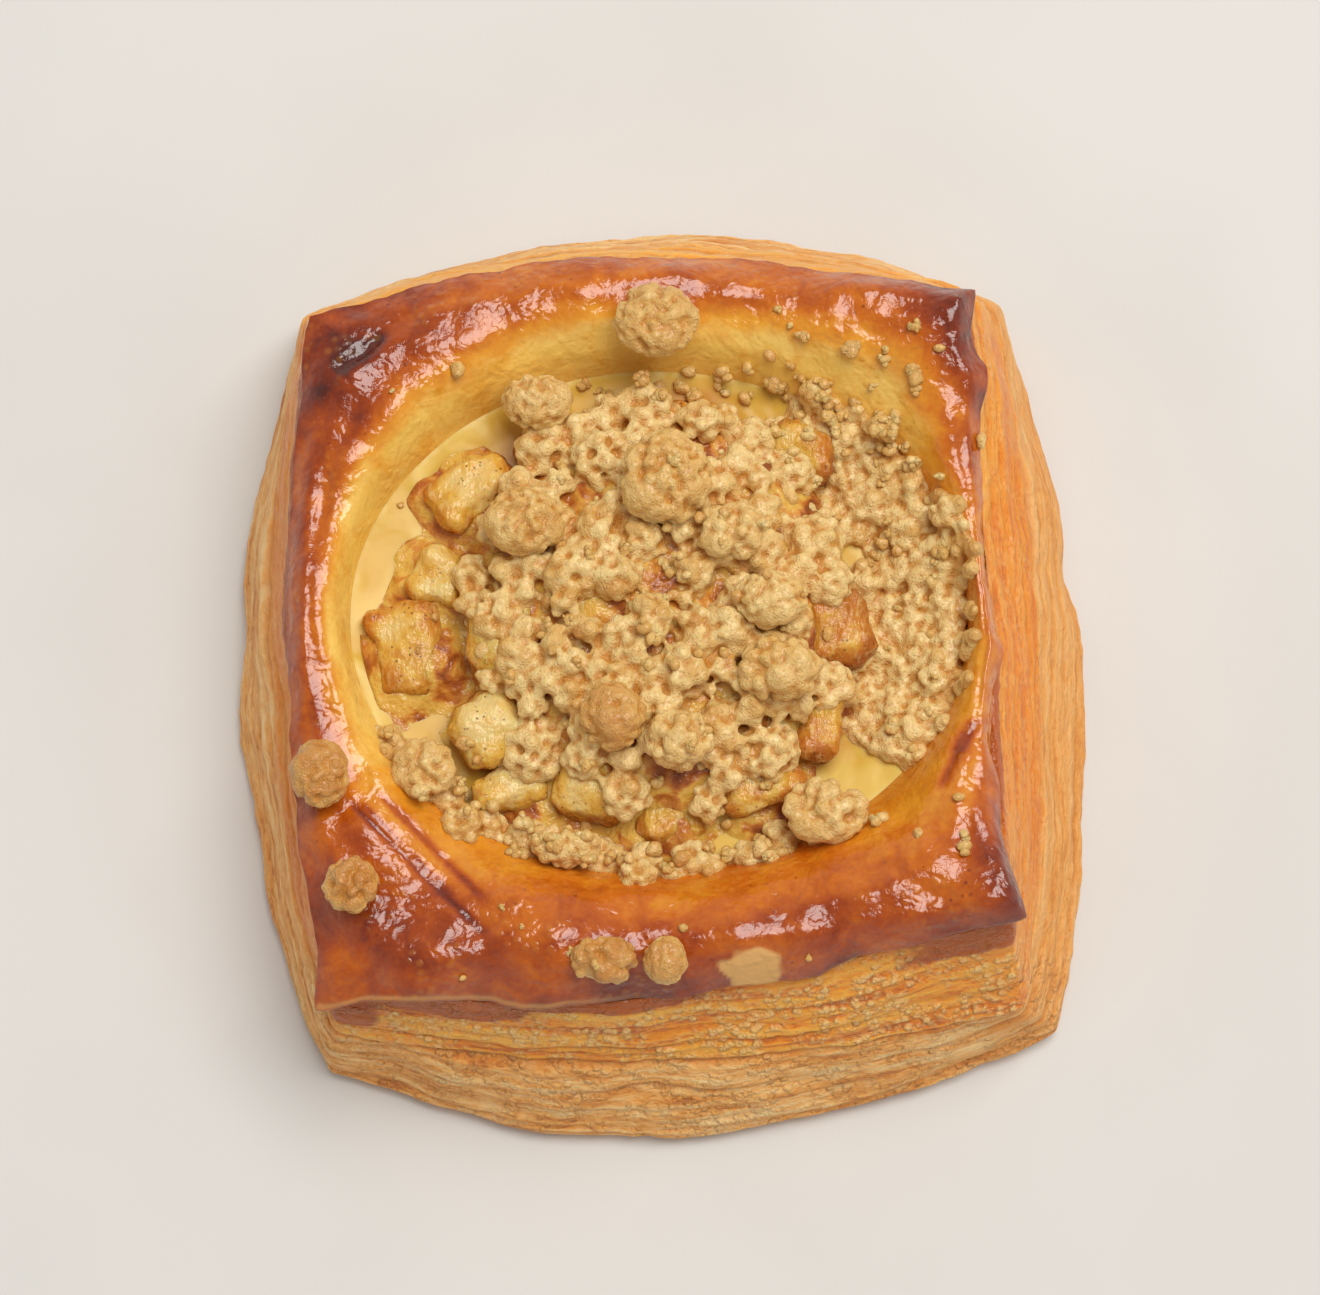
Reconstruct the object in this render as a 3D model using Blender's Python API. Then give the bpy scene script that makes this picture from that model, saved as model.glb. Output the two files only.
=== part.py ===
"""Apple crumble danish: a square of laminated dough with a round well of custard, apple and streusel.

The dough is one solid. Its two tiers of leaves lean in as they rise to a glazed lip, from which a
rounded rim rolls over into the well. Custard fills the well up to the level that shows, apple dice
sit sunk in the custard, a heap of streusel covers them, and bigger streusel clumps lie on the heap
and on the rim. The origin is the middle of the flat base, +Z is up and -Y is the front.
"""

import math
import random
from typing import NamedTuple

import bmesh
import bpy
from mathutils import Euler, Matrix, Vector, noise
from mathutils.bvhtree import BVHTree

MM = 0.001

# Driving dimensions
DOUGH_STEPS = 17  # segments along each of the four sides
CUSTARD_STEPS = 12
CONTACT_INSET = 3.0 * MM  # how far the base curls in before it touches the tray
UNDER_LIP = 2.0  # mm from the lip down to the top of the upper tier
LOWER_LEAVES = 4
UPPER_LEAVES = 3
LEAF_RELIEF = 1.1 * MM  # how far a leaf stands out past the groove below it
LIP_OVERHANG = 0.8 * MM
WELL_FLOOR = 9.0 * MM
CUSTARD_LINE = 23.0 * MM  # where custard meets the rim
CUSTARD_LEVEL = 20.8 * MM  # its surface in the middle of the well
CORNER_SHARE = 0.34  # share of a side over which a corner's own height fades out
GAP = 0.35 * MM  # air between neighbouring pieces
APPLE_BEVEL = 0.2  # edge rounding, as a share of a dice's smallest side
APPLE_SKEW = 0.07  # unevenness of the knife cuts

FRONT_LEFT, FRONT_RIGHT, REAR_RIGHT, REAR_LEFT = range(4)


class Around(NamedTuple):
    """A size that changes round the pastry: its value at each corner and at the middle of each side."""

    corners: tuple
    sides: tuple


class Plan(NamedTuple):
    """A bowed square. Corners run front left, front right, rear right, rear left, in mm, and the
    sides between them, front, right, rear and left, bow out by bows. heights are in mm too."""

    corners: tuple
    bows: tuple
    heights: Around


def level(height):
    """A height that stays the same all round."""
    return Around((height,) * 4, (height,) * 4)


LIP_HEIGHT = Around((27.0, 31.0, 30.5, 28.5), (26.5, 27.0, 27.5, 27.0))
CREST_HEIGHT = Around((30.0, 33.5, 33.0, 31.0), (31.0, 29.5, 31.0, 29.5))
CREST_PLACE = Around((0.33, 0.16, 0.20, 0.48), (0.34, 0.40, 0.34, 0.36))
# How level the rim stays past its crest before it drops to the custard.
CREST_BREADTH = Around((3.0, 3.0, 3.0, 4.0), (2.8, 3.5, 2.8, 5.0))

BASE = Plan(
    ((-42.3, -52.4), (50.6, -46.7), (44.8, 49.0), (-47.2, 47.9)), (10.0, 7.0, 11.0, 10.0), level(2.4)
)
WAIST = Plan(
    ((-40.3, -48.2), (44.4, -45.4), (42.0, 45.5), (-46.0, 43.4)), (4.7, 4.2, 9.1, 5.9), level(14.0)
)
LIP = Plan(
    ((-39.2, -43.9), (41.2, -34.8), (37.4, 40.4), (-42.7, 38.2)), (5.2, 0.4, 6.9, 4.0), LIP_HEIGHT
)
WELL_CENTRE = (-0.6, 2.2)
WELL_RADII = (37.8, 31.5)


class Dice(NamedTuple):
    """An apple dice: where its middle is, its three sides, and how it is turned, in mm and degrees."""

    place: tuple
    sides: tuple
    yaw: float = 0.0
    tilt: float = 0.0


APPLES = (
    Dice((-31.6, -2.0, 22.0), (8.0, 11.0, 5.5), 8, 6),
    Dice((-27.8, 7.6, 21.9), (6.0, 6.6, 7.0), -20, 5),
    Dice((-23.6, 18.0, 22.2), (11.0, 6.6, 7.0), 42, -8),
    Dice((-15.0, 22.6, 21.9), (6.0, 5.5, 8.0), 10, 0),
    Dice((-9.6, 15.7, 24.0), (7.5, 7.0, 8.5), 25, 0),
    Dice((-7.8, 2.1, 25.2), (7.5, 9.5, 8.5), -12, 6),
    Dice((-19.8, -0.3, 24.8), (8.5, 10.5, 8.5), -6, 0),
    Dice((-20.6, -11.6, 23.4), (9.0, 9.0, 9.5), 33, 6),
    Dice((-18.2, -19.5, 22.8), (8.6, 4.8, 6.2), 20, -6),
    Dice((-8.5, -19.6, 22.8), (8.6, 7.0, 8.0), -8, 0),
    Dice((1.2, -22.0, 21.4), (8.5, 6.0, 6.5), 4, 6),
    Dice((11.3, -19.2, 22.6), (10.0, 6.2, 7.5), 14, 0),
    Dice((19.2, -11.0, 22.6), (5.0, 10.0, 8.0), -10, 0),
    Dice((21.3, -0.1, 22.9), (8.0, 9.0, 8.5), 12, 5),
    Dice((16.8, 23.0, 21.8), (8.0, 6.5, 8.0), -20, 0),
    Dice((0.2, 7.1, 25.4), (6.4, 6.4, 8.0), 20, 0),
    Dice((4.4, 27.2, 22.0), (7.0, 4.6, 6.5), 5, 0),
)


class Clump(NamedTuple):
    """A streusel clump: its middle in plan, its three sizes, and its turn, in mm and degrees."""

    place: tuple
    sizes: tuple
    yaw: float = 0.0


# Clumps that lie on the heap, part sunk in it.
HEAP_CLUMPS = (
    Clump((0.3, 17.4), (11.5, 11.0, 8.5), 20),
    Clump((-17.0, 11.4), (10.0, 8.6, 8.0), -15),
    Clump((13.0, 2.0), (8.8, 7.4, 7.0), 0),
    Clump((14.2, -6.4), (11.0, 7.6, 7.0), 10),
    Clump((-6.2, -12.4), (7.6, 8.6, 7.0), -20),
    Clump((2.0, -15.0), (8.0, 7.4, 7.0), 0),
    Clump((8.4, 10.0), (8.4, 7.0, 6.4), -30),
)

# Clumps that lie on the custard beside the heap or on the rim.
LOOSE_CLUMPS = (
    Clump((-0.9, 37.2), (10.2, 8.8, 7.0), -10),
    Clump((-15.6, 28.0), (9.0, 7.0, 6.6), 10),
    Clump((-40.8, -19.2), (6.6, 8.0, 6.0), 0),
    Clump((-37.0, -32.4), (6.6, 6.2, 5.6), 30),
    Clump((-28.8, -17.6), (7.4, 6.0, 5.0), -30),
    Clump((-11.6, -27.0), (9.4, 4.8, 4.6), 4),
    Clump((19.4, -23.0), (10.4, 6.6, 6.4), 24),
    Clump((-7.0, -41.6), (7.8, 5.8, 5.0), -10),
    Clump((0.2, -41.6), (5.4, 6.2, 5.0), 0),
)

CLUMP_RELIEF = 0.16  # depth of a clump's lumps, as a share of its size
CLUMP_LUMPS = 2.2  # lumps across a clump
CLUMP_FOOT = 0.62  # a clump's underside is this flat beside its top


class Mound(NamedTuple):
    """A heap of streusel: its middle and half sizes, and the height of its top, in mm. A curved one
    hugs the rim, and its middle and half sizes are a share of the well and an angle in degrees."""

    middle: tuple
    half_sizes: tuple
    rise: float
    segments: int
    rings: int
    curved: bool = False


HEAP = Mound((-0.8, 3.2), (24.4, 27.4), 12.2, 32, 14)
BANK = Mound((0.85, 10.0), (0.11, 40.0), 4.0, 20, 8, curved=True)
MOUND_RELIEF = 1.5 * MM
MOUND_LUMPS = 170.0  # lumps per metre
MOUND_EDGE = 0.06  # unevenness of a heap's outline


def around(size, side, t):
    """The value of an Around size at t along a side, in its own unit."""
    nearest = side if t < 0.5 else (side + 1) % 4
    share = min(min(t, 1 - t) / CORNER_SHARE, 1)
    fade = share * share * (3 - 2 * share)
    return size.corners[nearest] * (1 - fade) + size.sides[side] * fade


def plan_point(plan, side, t):
    """The point at t along a plan's side."""
    start, end = (Vector(plan.corners[i % 4]) for i in (side, side + 1))
    chord = end - start
    outward = Vector((chord.y, -chord.x)).normalized()
    return (start + chord * t + outward * plan.bows[side] * 4 * t * (1 - t)) * MM


def well_angle(side, t):
    """The angle on the well's ellipse that lies opposite the point at t along a side."""
    angles = [
        math.atan2((y - WELL_CENTRE[1]) / WELL_RADII[1], (x - WELL_CENTRE[0]) / WELL_RADII[0])
        for x, y in (LIP.corners[side], LIP.corners[(side + 1) % 4])
    ]
    turn = (angles[1] - angles[0]) % math.tau
    return angles[0] + turn * t


def well_point(share, side, t, inset=0.0):
    """A point of the well, at a share of its full radii, moved in by inset."""
    angle = well_angle(side, t)
    reach = Vector((WELL_RADII[0] * math.cos(angle), WELL_RADII[1] * math.sin(angle))) * MM
    reach = reach * share - reach.normalized() * min(inset, reach.length * share)
    return Vector(WELL_CENTRE) * MM + reach


def custard_height(x, y):
    """The custard's surface: level in the middle, rising to the custard line at the rim."""
    reach = math.hypot(
        (x / MM - WELL_CENTRE[0]) / WELL_RADII[0], (y / MM - WELL_CENTRE[1]) / WELL_RADII[1]
    )
    return CUSTARD_LEVEL + (CUSTARD_LINE - CUSTARD_LEVEL) * min(reach, 1) ** 5


class Station(NamedTuple):
    """One ring of a turned solid: its rough radius and height, for the spin, and the function of
    (side, t) that gives each of its points."""

    radius: float
    height: float
    point: object


def wall_station(lower, upper, share, out):
    """A ring of the dough's outer wall, at a share of the way from one plan to the next, standing
    out by out."""

    def point(side, t):
        flat = plan_point(lower, side, t).lerp(plan_point(upper, side, t), share)
        flat += flat.normalized() * out
        bottom, top = (around(plan.heights, side, t) * MM for plan in (lower, upper))
        return Vector((*flat, bottom + (top - bottom) * share))

    return Station(50 * MM, share * 10 * MM, point)


def tier(lower, upper, leaves):
    """The rings of one tier of puffed leaves: a groove below each leaf and its edge above it."""
    for leaf in range(leaves):
        yield wall_station(lower, upper, leaf / leaves, -LEAF_RELIEF / 2)
        yield wall_station(lower, upper, (leaf + 0.5) / leaves, LEAF_RELIEF / 2)


def rim_station(share):
    """A ring of the rim, at a share of the way from the lip over the crest to the custard line."""

    def point(side, t):
        flat = plan_point(LIP, side, t).lerp(well_point(1, side, t), share)
        flat += flat.normalized() * LIP_OVERHANG * (1 - share)
        crest_share = around(CREST_PLACE, side, t)
        lip, crest = (around(size, side, t) * MM for size in (LIP_HEIGHT, CREST_HEIGHT))
        if share < crest_share:
            height = lip + (crest - lip) * math.sin(math.pi / 2 * share / crest_share)
        else:
            fall = (share - crest_share) / (1 - crest_share)
            drop = fall ** around(CREST_BREADTH, side, t)
            height = crest - (crest - CUSTARD_LINE) * drop
        return Vector((*flat, height))

    return Station(45 * MM - share * 5 * MM, 30 * MM + share, point)


def well_station(share, height, inset=0.0):
    """A ring of the well's wall or of the custard that fills it."""
    return Station(
        40 * MM * share, height, lambda side, t: Vector((*well_point(share, side, t, inset), height))
    )


def pole_station(height):
    """A single point on the well's axis."""
    return Station(0, height, lambda side, t: Vector((0, 0, height)))


def dough_stations():
    """Every ring of the dough, from the middle of its base, up the wall and over into the well."""
    contact = BASE._replace(heights=level(0.0))
    under_lip = Around(*([height - UNDER_LIP for height in part] for part in LIP_HEIGHT))
    shoulder = LIP._replace(heights=under_lip)
    yield pole_station(0)
    yield wall_station(contact, contact, 0, -CONTACT_INSET)
    yield from tier(BASE, WAIST, LOWER_LEAVES)
    yield from tier(WAIST, shoulder, UPPER_LEAVES)
    yield wall_station(WAIST, shoulder, 1, -LEAF_RELIEF / 2)
    for share in (0, 0.1, 0.22, 0.36, 0.54, 0.72, 0.88, 1):
        yield rim_station(share)
    yield well_station(0.92, 15 * MM)
    yield well_station(0.8, WELL_FLOOR)
    yield pole_station(WELL_FLOOR)


def custard_stations():
    """Every ring of the custard, from the middle of its underside, up the well and over the top."""
    bottom = WELL_FLOOR + GAP
    yield pole_station(bottom)
    yield well_station(0.8, bottom, GAP * 1.4)
    yield well_station(0.92, 15 * MM + GAP / 2, GAP * 1.4)
    yield well_station(1, CUSTARD_LINE - GAP / 2, GAP * 1.4)
    for share in (0.9, 0.78, 0.5):
        yield surface_station(share)
    yield pole_station(CUSTARD_LEVEL)


def surface_station(share):
    """A ring of the custard's top surface."""

    def point(side, t):
        flat = well_point(share, side, t)
        return Vector((*flat, custard_height(*flat)))

    return Station(40 * MM * share, 30 * MM, point)


def face_outward(bm):
    """Turns the faces of a closed solid to point out of it."""
    bmesh.ops.recalc_face_normals(bm, faces=bm.faces)
    if bm.calc_volume(signed=True) < 0:
        bmesh.ops.reverse_faces(bm, faces=bm.faces)


def turned(stations, steps):
    """A closed solid: a profile of one point a station is spun, and each ring then takes its own
    outline, so that a bowed square below becomes a round well above."""
    stations = list(stations)
    bm = bmesh.new()
    ring_of = bm.verts.layers.int.new("ring")
    profile = []
    for index, station in enumerate(stations):
        vertex = bm.verts.new((station.radius, 0, station.height + index * MM))
        vertex[ring_of] = index
        profile.append(vertex)
    edges = [bm.edges.new(pair) for pair in zip(profile, profile[1:])]
    bmesh.ops.spin(
        bm, geom=profile + edges, axis=(0, 0, 1), angle=math.tau, steps=4 * steps, use_merge=True
    )
    bmesh.ops.remove_doubles(bm, verts=bm.verts, dist=0.01 * MM)
    for vertex in bm.verts:
        turn = math.atan2(vertex.co.y, vertex.co.x) % math.tau
        side, step = divmod(round(turn / math.tau * 4 * steps) % (4 * steps), steps)
        vertex.co = stations[vertex[ring_of]].point(side, step / steps)
    face_outward(bm)
    return bm


def apple_dice(dice, index):
    """A diced piece of apple: a cube with uneven cuts and edges rounded by cooking."""
    cuts = random.Random(index)
    bm = bmesh.new()
    bmesh.ops.create_cube(bm, size=1)
    for vertex in bm.verts:
        skew = [1 + cuts.uniform(-APPLE_SKEW, APPLE_SKEW) * 2 for _ in range(3)]
        vertex.co = Vector(
            part * side * MM * stretch for part, side, stretch in zip(vertex.co, dice.sides, skew)
        )
    bmesh.ops.bevel(
        bm,
        geom=bm.edges,
        offset=min(dice.sides) * MM * APPLE_BEVEL,
        segments=1,
        profile=0.5,
        affect="EDGES",
        material=-1,
    )
    turn = Euler((math.radians(dice.tilt), 0, math.radians(dice.yaw))).to_matrix().to_4x4()
    bmesh.ops.transform(bm, matrix=turn, verts=bm.verts)
    return bm


def clump_lump(clump, index):
    """A streusel clump: a lumpy ball with a flattened underside."""
    bm = bmesh.new()
    bmesh.ops.create_icosphere(bm, subdivisions=2, radius=0.5)
    for vertex in bm.verts:
        seed = Vector((index * 3.7, 1.3, -index * 2.1))
        lump = noise.noise(vertex.co.normalized() * CLUMP_LUMPS + seed)
        vertex.co *= 1 + CLUMP_RELIEF * 2 * lump
        if vertex.co.z < 0:
            vertex.co.z *= CLUMP_FOOT
        vertex.co = Vector(part * size * MM for part, size in zip(vertex.co, clump.sizes))
    turn = Matrix.Rotation(math.radians(clump.yaw), 4, "Z")
    bmesh.ops.transform(bm, matrix=turn, verts=bm.verts)
    return bm


def mound_plan(mound, across, along):
    """The point in plan at a share of a heap's half sizes."""
    first = mound.middle[0] + mound.half_sizes[0] * across
    second = mound.middle[1] + mound.half_sizes[1] * along
    if not mound.curved:
        return Vector((first, second)) * MM
    angle = math.radians(second)
    reach = Vector((WELL_RADII[0] * math.cos(angle), WELL_RADII[1] * math.sin(angle)))
    return (Vector(WELL_CENTRE) + reach * first) * MM


def mound_rise(mound, across, along):
    """The height of a heap's lumpy top above the custard, at a share of its half sizes."""
    dome = math.sqrt(max(1 - across * across - along * along, 0))
    lumps = noise.noise(Vector((*mound_plan(mound, across, along), 0.0)) * MOUND_LUMPS)
    return max(mound.rise * MM * dome**0.8 + MOUND_RELIEF * lumps * min(dome * 2, 1), 0)


def streusel_mound(mound):
    """A closed heap: a sphere whose upper half takes the heap's lumpy top and whose lower half is
    pressed on the custard. Its edge is where the two halves meet."""
    bm = bmesh.new()
    bmesh.ops.create_uvsphere(bm, u_segments=mound.segments, v_segments=mound.rings, radius=1)
    for vertex in bm.verts:
        edge = 1 + MOUND_EDGE * noise.noise(Vector((*vertex.co.xy * 2.3, mound.rise)))
        flat = mound_plan(mound, *(vertex.co.xy * edge))
        base = custard_height(*flat) + GAP
        above = mound_rise(mound, *vertex.co.xy) + GAP
        share = 0.25 if abs(vertex.co.z) < 1e-6 else vertex.co.z > 0
        vertex.co = Vector((*flat, base + above * share))
    face_outward(bm)
    return bm


def material(name, colour, roughness):
    """A plain finish for one kind of piece. colour is linear red, green and blue."""
    made = bpy.data.materials.new(name)
    made.use_nodes = True
    shader = made.node_tree.nodes["Principled BSDF"]
    shader.inputs["Base Color"].default_value = (*colour, 1)
    shader.inputs["Roughness"].default_value = roughness
    made.diffuse_color = (*colour, 1)
    return made


def add_part(name, bm, collection, finish, place=(0, 0, 0), smooth_under=60):
    """Makes a mesh an object of its own, in metres, shaded smooth up to an edge angle in degrees."""
    mesh = bpy.data.meshes.new(name)
    bm.to_mesh(mesh)
    bm.free()
    mesh.shade_smooth()
    mesh.set_sharp_from_angle(angle=math.radians(smooth_under))
    mesh.materials.append(finish)
    obj = bpy.data.objects.new(name, mesh)
    obj.location = place
    collection.objects.link(obj)
    return obj


def add_cutter(obj, cutters):
    """A copy of a piece, grown by the gap, that cuts room for it out of what it is sunk in."""
    bm = bmesh.new()
    bm.from_mesh(obj.data)
    bm.normal_update()
    for vertex in bm.verts:
        vertex.co += vertex.normal * GAP * 1.25
    mesh = bpy.data.meshes.new(obj.name + "_room")
    bm.to_mesh(mesh)
    bm.free()
    room = bpy.data.objects.new(mesh.name, mesh)
    room.location = obj.location
    room.hide_render = True
    room.display_type = "WIRE"
    cutters.objects.link(room)


def cut_room(obj, cutters):
    """Cuts a collection of cutters out of a piece."""
    cut = obj.modifiers.new("room", "BOOLEAN")
    cut.operation = "DIFFERENCE"
    cut.solver = "EXACT"
    cut.operand_type = "COLLECTION"
    cut.collection = cutters


def drop_height(points, tree, down):
    """The smallest upright distance from a set of points to the surface in a tree, straight down
    from them or straight up."""
    smallest = math.inf
    for point in points:
        hit = tree.ray_cast(point, Vector((0, 0, -1 if down else 1)))[0]
        if hit is not None:
            smallest = min(smallest, abs(point.z - hit.z))
    return smallest


def settle(obj, supports):
    """Lowers a piece that hangs clear above everything until it nearly touches what lies below."""
    bpy.context.view_layer.update()
    graph = bpy.context.evaluated_depsgraph_get()
    own = [obj.matrix_world @ vertex.co for vertex in obj.data.vertices]
    own_tree = BVHTree.FromPolygons(own, [list(face.vertices) for face in obj.data.polygons])
    fall = math.inf
    for support in supports:
        mesh = support.evaluated_get(graph).data
        points = [support.matrix_world @ vertex.co for vertex in mesh.vertices]
        tree = BVHTree.FromPolygons(points, [list(face.vertices) for face in mesh.polygons])
        fall = min(fall, drop_height(own, tree, True), drop_height(points, own_tree, False))
    obj.location.z -= fall - GAP


def new_collection(name, hidden=False):
    """A collection under the scene's own."""
    made = bpy.data.collections.new(name)
    made.hide_render = hidden
    bpy.context.scene.collection.children.link(made)
    return made


def build():
    """Builds the danish: dough, custard, apple dice, the two heaps and the loose clumps."""
    for obj in list(bpy.data.objects):
        bpy.data.objects.remove(obj)
    parts = new_collection("apple_crumble_danish")
    sunk_apples = new_collection("apple_room", hidden=True)
    sunk_pieces = new_collection("heap_room", hidden=True)

    crust = material("baked_dough", (0.56, 0.22, 0.05), 0.35)
    cream = material("custard", (0.70, 0.47, 0.12), 0.3)
    fruit = material("cooked_apple", (0.58, 0.31, 0.07), 0.35)
    crumb = material("streusel", (0.62, 0.38, 0.13), 0.8)

    dough = add_part("pastry", turned(dough_stations(), DOUGH_STEPS), parts, crust, smooth_under=35)
    custard = add_part("custard", turned(custard_stations(), CUSTARD_STEPS), parts, cream)

    apples = []
    for index, dice in enumerate(APPLES, 1):
        place = Vector(dice.place) * MM
        piece = add_part(f"apple_{index:02d}", apple_dice(dice, index), parts, fruit, place)
        add_cutter(piece, sunk_apples)
        add_cutter(piece, sunk_pieces)
        apples.append(piece)
    cut_room(custard, sunk_apples)

    for index, clump in enumerate(HEAP_CLUMPS, 1):
        across, along = (
            (place - middle) / half
            for place, middle, half in zip(clump.place, HEAP.middle, HEAP.half_sizes)
        )
        x, y = (part * MM for part in clump.place)
        top = custard_height(x, y) + mound_rise(HEAP, across, along)
        place = Vector((x, y, top + clump.sizes[2] * MM * 0.18))
        name = f"heap_clump_{index:02d}"
        add_cutter(add_part(name, clump_lump(clump, index), parts, crumb, place), sunk_pieces)

    heap = add_part("streusel_heap", streusel_mound(HEAP), parts, crumb)
    bank = add_part("streusel_bank", streusel_mound(BANK), parts, crumb)
    for piece in (heap, bank):
        cut_room(piece, sunk_pieces)

    for index, clump in enumerate(LOOSE_CLUMPS, 1):
        place = Vector((*clump.place, 60)) * MM
        name = f"loose_clump_{index:02d}"
        piece = add_part(name, clump_lump(clump, 40 + index), parts, crumb, place)
        settle(piece, [dough, custard, heap, bank, *apples])


build()
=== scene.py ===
"""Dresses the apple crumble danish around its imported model.

The dough becomes two meshes, its laminated side and the glazed crust that rolls over it into the
well. Custard fills the well, diced apple sits in it, and the streusel is built nodule by nodule over
a core of syrupy apple. Sizes are in metres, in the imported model's frame: +Z is up, -Y is the front.
"""

import logging
import math
import random
from dataclasses import dataclass
from enum import Enum
from functools import lru_cache
from typing import Callable, Iterator, Union

import bmesh
import bpy
from mathutils import Matrix, Vector, noise
from mathutils.bvhtree import BVHTree
from mathutils.kdtree import KDTree


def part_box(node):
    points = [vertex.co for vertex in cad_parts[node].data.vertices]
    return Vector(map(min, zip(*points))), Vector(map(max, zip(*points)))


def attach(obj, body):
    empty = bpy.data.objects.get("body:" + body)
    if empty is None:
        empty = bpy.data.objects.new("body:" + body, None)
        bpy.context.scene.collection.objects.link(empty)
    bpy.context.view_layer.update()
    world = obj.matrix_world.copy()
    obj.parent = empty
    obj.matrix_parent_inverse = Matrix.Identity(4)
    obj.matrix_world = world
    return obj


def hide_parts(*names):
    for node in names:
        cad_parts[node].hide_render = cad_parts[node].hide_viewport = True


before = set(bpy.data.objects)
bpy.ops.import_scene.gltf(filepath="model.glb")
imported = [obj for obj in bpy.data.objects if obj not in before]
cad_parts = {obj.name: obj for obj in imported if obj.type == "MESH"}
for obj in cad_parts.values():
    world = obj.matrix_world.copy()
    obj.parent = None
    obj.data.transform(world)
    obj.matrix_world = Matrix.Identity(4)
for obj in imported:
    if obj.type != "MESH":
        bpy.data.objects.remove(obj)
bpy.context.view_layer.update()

MM = 0.001
BODY = "root"
LOG = logging.getLogger("danish")

Colour = tuple[float, float, float]


def smooth_step(low: float, high: float, value: float) -> float:
    """Eases a value from 0 at low to 1 at high.

    Args:
        low: The value that gives 0.
        high: The value that gives 1.
        value: The value to ease.

    Returns:
        A number from 0 to 1.
    """
    share = min(max((value - low) / (high - low), 0.0), 1.0)
    return share * share * (3.0 - 2.0 * share)


def ripple(place: Vector, size: float, seed: float = 0.0) -> float:
    """Smooth unevenness.

    Args:
        place: Where it is read.
        size: How far apart its lumps lie, in the same unit.
        seed: Picks one unevenness out of many.

    Returns:
        A number from about -1 to 1.
    """
    return noise.noise(place / size + Vector((seed * 7.3, seed * 3.1, -seed * 5.7)))


def bell(distance: float, width: float) -> float:
    """A bump that is 1 at no distance and fades out over about two widths."""
    return math.exp(-((distance / width) ** 2))


# ---------------------------------------------------------------------------------------------
# The dough's own shape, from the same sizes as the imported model
# ---------------------------------------------------------------------------------------------


@dataclass(frozen=True)
class Around:
    """A size that changes round the pastry, in mm or as a share.

    The corners run front left, front right, rear right, rear left, and the sides front, right,
    rear, left.
    """

    corners: tuple[float, float, float, float]
    sides: tuple[float, float, float, float]
    corner_share: float = 0.34

    def at(self, turn: float) -> float:
        """The value at a turn: 0 is the front left corner, and each side adds 1."""
        side, t = math.floor(turn) % 4, turn % 1.0
        nearest = side if t < 0.5 else (side + 1) % 4
        fade = smooth_step(0.0, self.corner_share, min(t, 1.0 - t))
        return self.corners[nearest] * (1.0 - fade) + self.sides[side] * fade


@dataclass(frozen=True)
class Plan:
    """A bowed square in plan, with its heights, in mm."""

    corners: tuple[tuple[float, float], ...]
    bows: tuple[float, float, float, float]
    heights: Around
    softness: float = 0.0

    def at(self, turn: float) -> Vector:
        """The point in plan at a turn, with its corners rounded off, in metres."""
        if not self.softness:
            return self.sharp(turn)
        near = self.sharp(turn - self.softness) + self.sharp(turn + self.softness)
        far = self.sharp(turn - 2 * self.softness) + self.sharp(turn + 2 * self.softness)
        return (self.sharp(turn) * 2 + near + far) / 6

    def sharp(self, turn: float) -> Vector:
        """The point in plan at a turn, in metres."""
        side, t = math.floor(turn) % 4, turn % 1.0
        start, end = Vector(self.corners[side]), Vector(self.corners[(side + 1) % 4])
        chord = end - start
        outward = Vector((chord.y, -chord.x)).normalized()
        bow = self.bows[side] * 4.0 * t * (1.0 - t)
        return (start + chord * t + outward * bow) * MM


@dataclass(frozen=True)
class Feature:
    """A local change of an edge: where it is, as a turn, how wide, and how far out and up in mm."""

    turn: float
    width: float
    out: float
    up: float = 0.0

    def share(self, turn: float) -> float:
        """How much of the change applies at a turn."""
        away = abs((turn - self.turn + 2.0) % 4.0 - 2.0)
        return bell(away, self.width)


@dataclass(frozen=True)
class Crease:
    """A groove pressed into the crust between two points in plan, in mm."""

    start: tuple[float, float]
    end: tuple[float, float]
    depth: float
    width: float

    def share(self, place: Vector) -> float:
        """How deep the groove is at a place in metres, from 0 to 1."""
        start, end = Vector(self.start) * MM, Vector(self.end) * MM
        line = end - start
        along = (place.xy - start).dot(line) / line.length_squared
        nearest = start + line * min(max(along, 0.0), 1.0)
        wander = ripple(place, 4.0 * MM, 3.0) * 0.5 * MM
        fade = smooth_step(-0.1, 0.15, along) * smooth_step(1.1, 0.8, along)
        return bell((place.xy - nearest).length + wander, self.width * MM) * fade


@dataclass(frozen=True)
class Spot:
    """A round patch in plan, in mm, such as a burnt corner or a swelling."""

    centre: tuple[float, float]
    radius: float
    strength: float

    def at(self, place: Vector) -> float:
        """Its strength at a place in metres."""
        away = (place.xy - Vector(self.centre) * MM).length
        return self.strength * bell(away, self.radius * MM)


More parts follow.
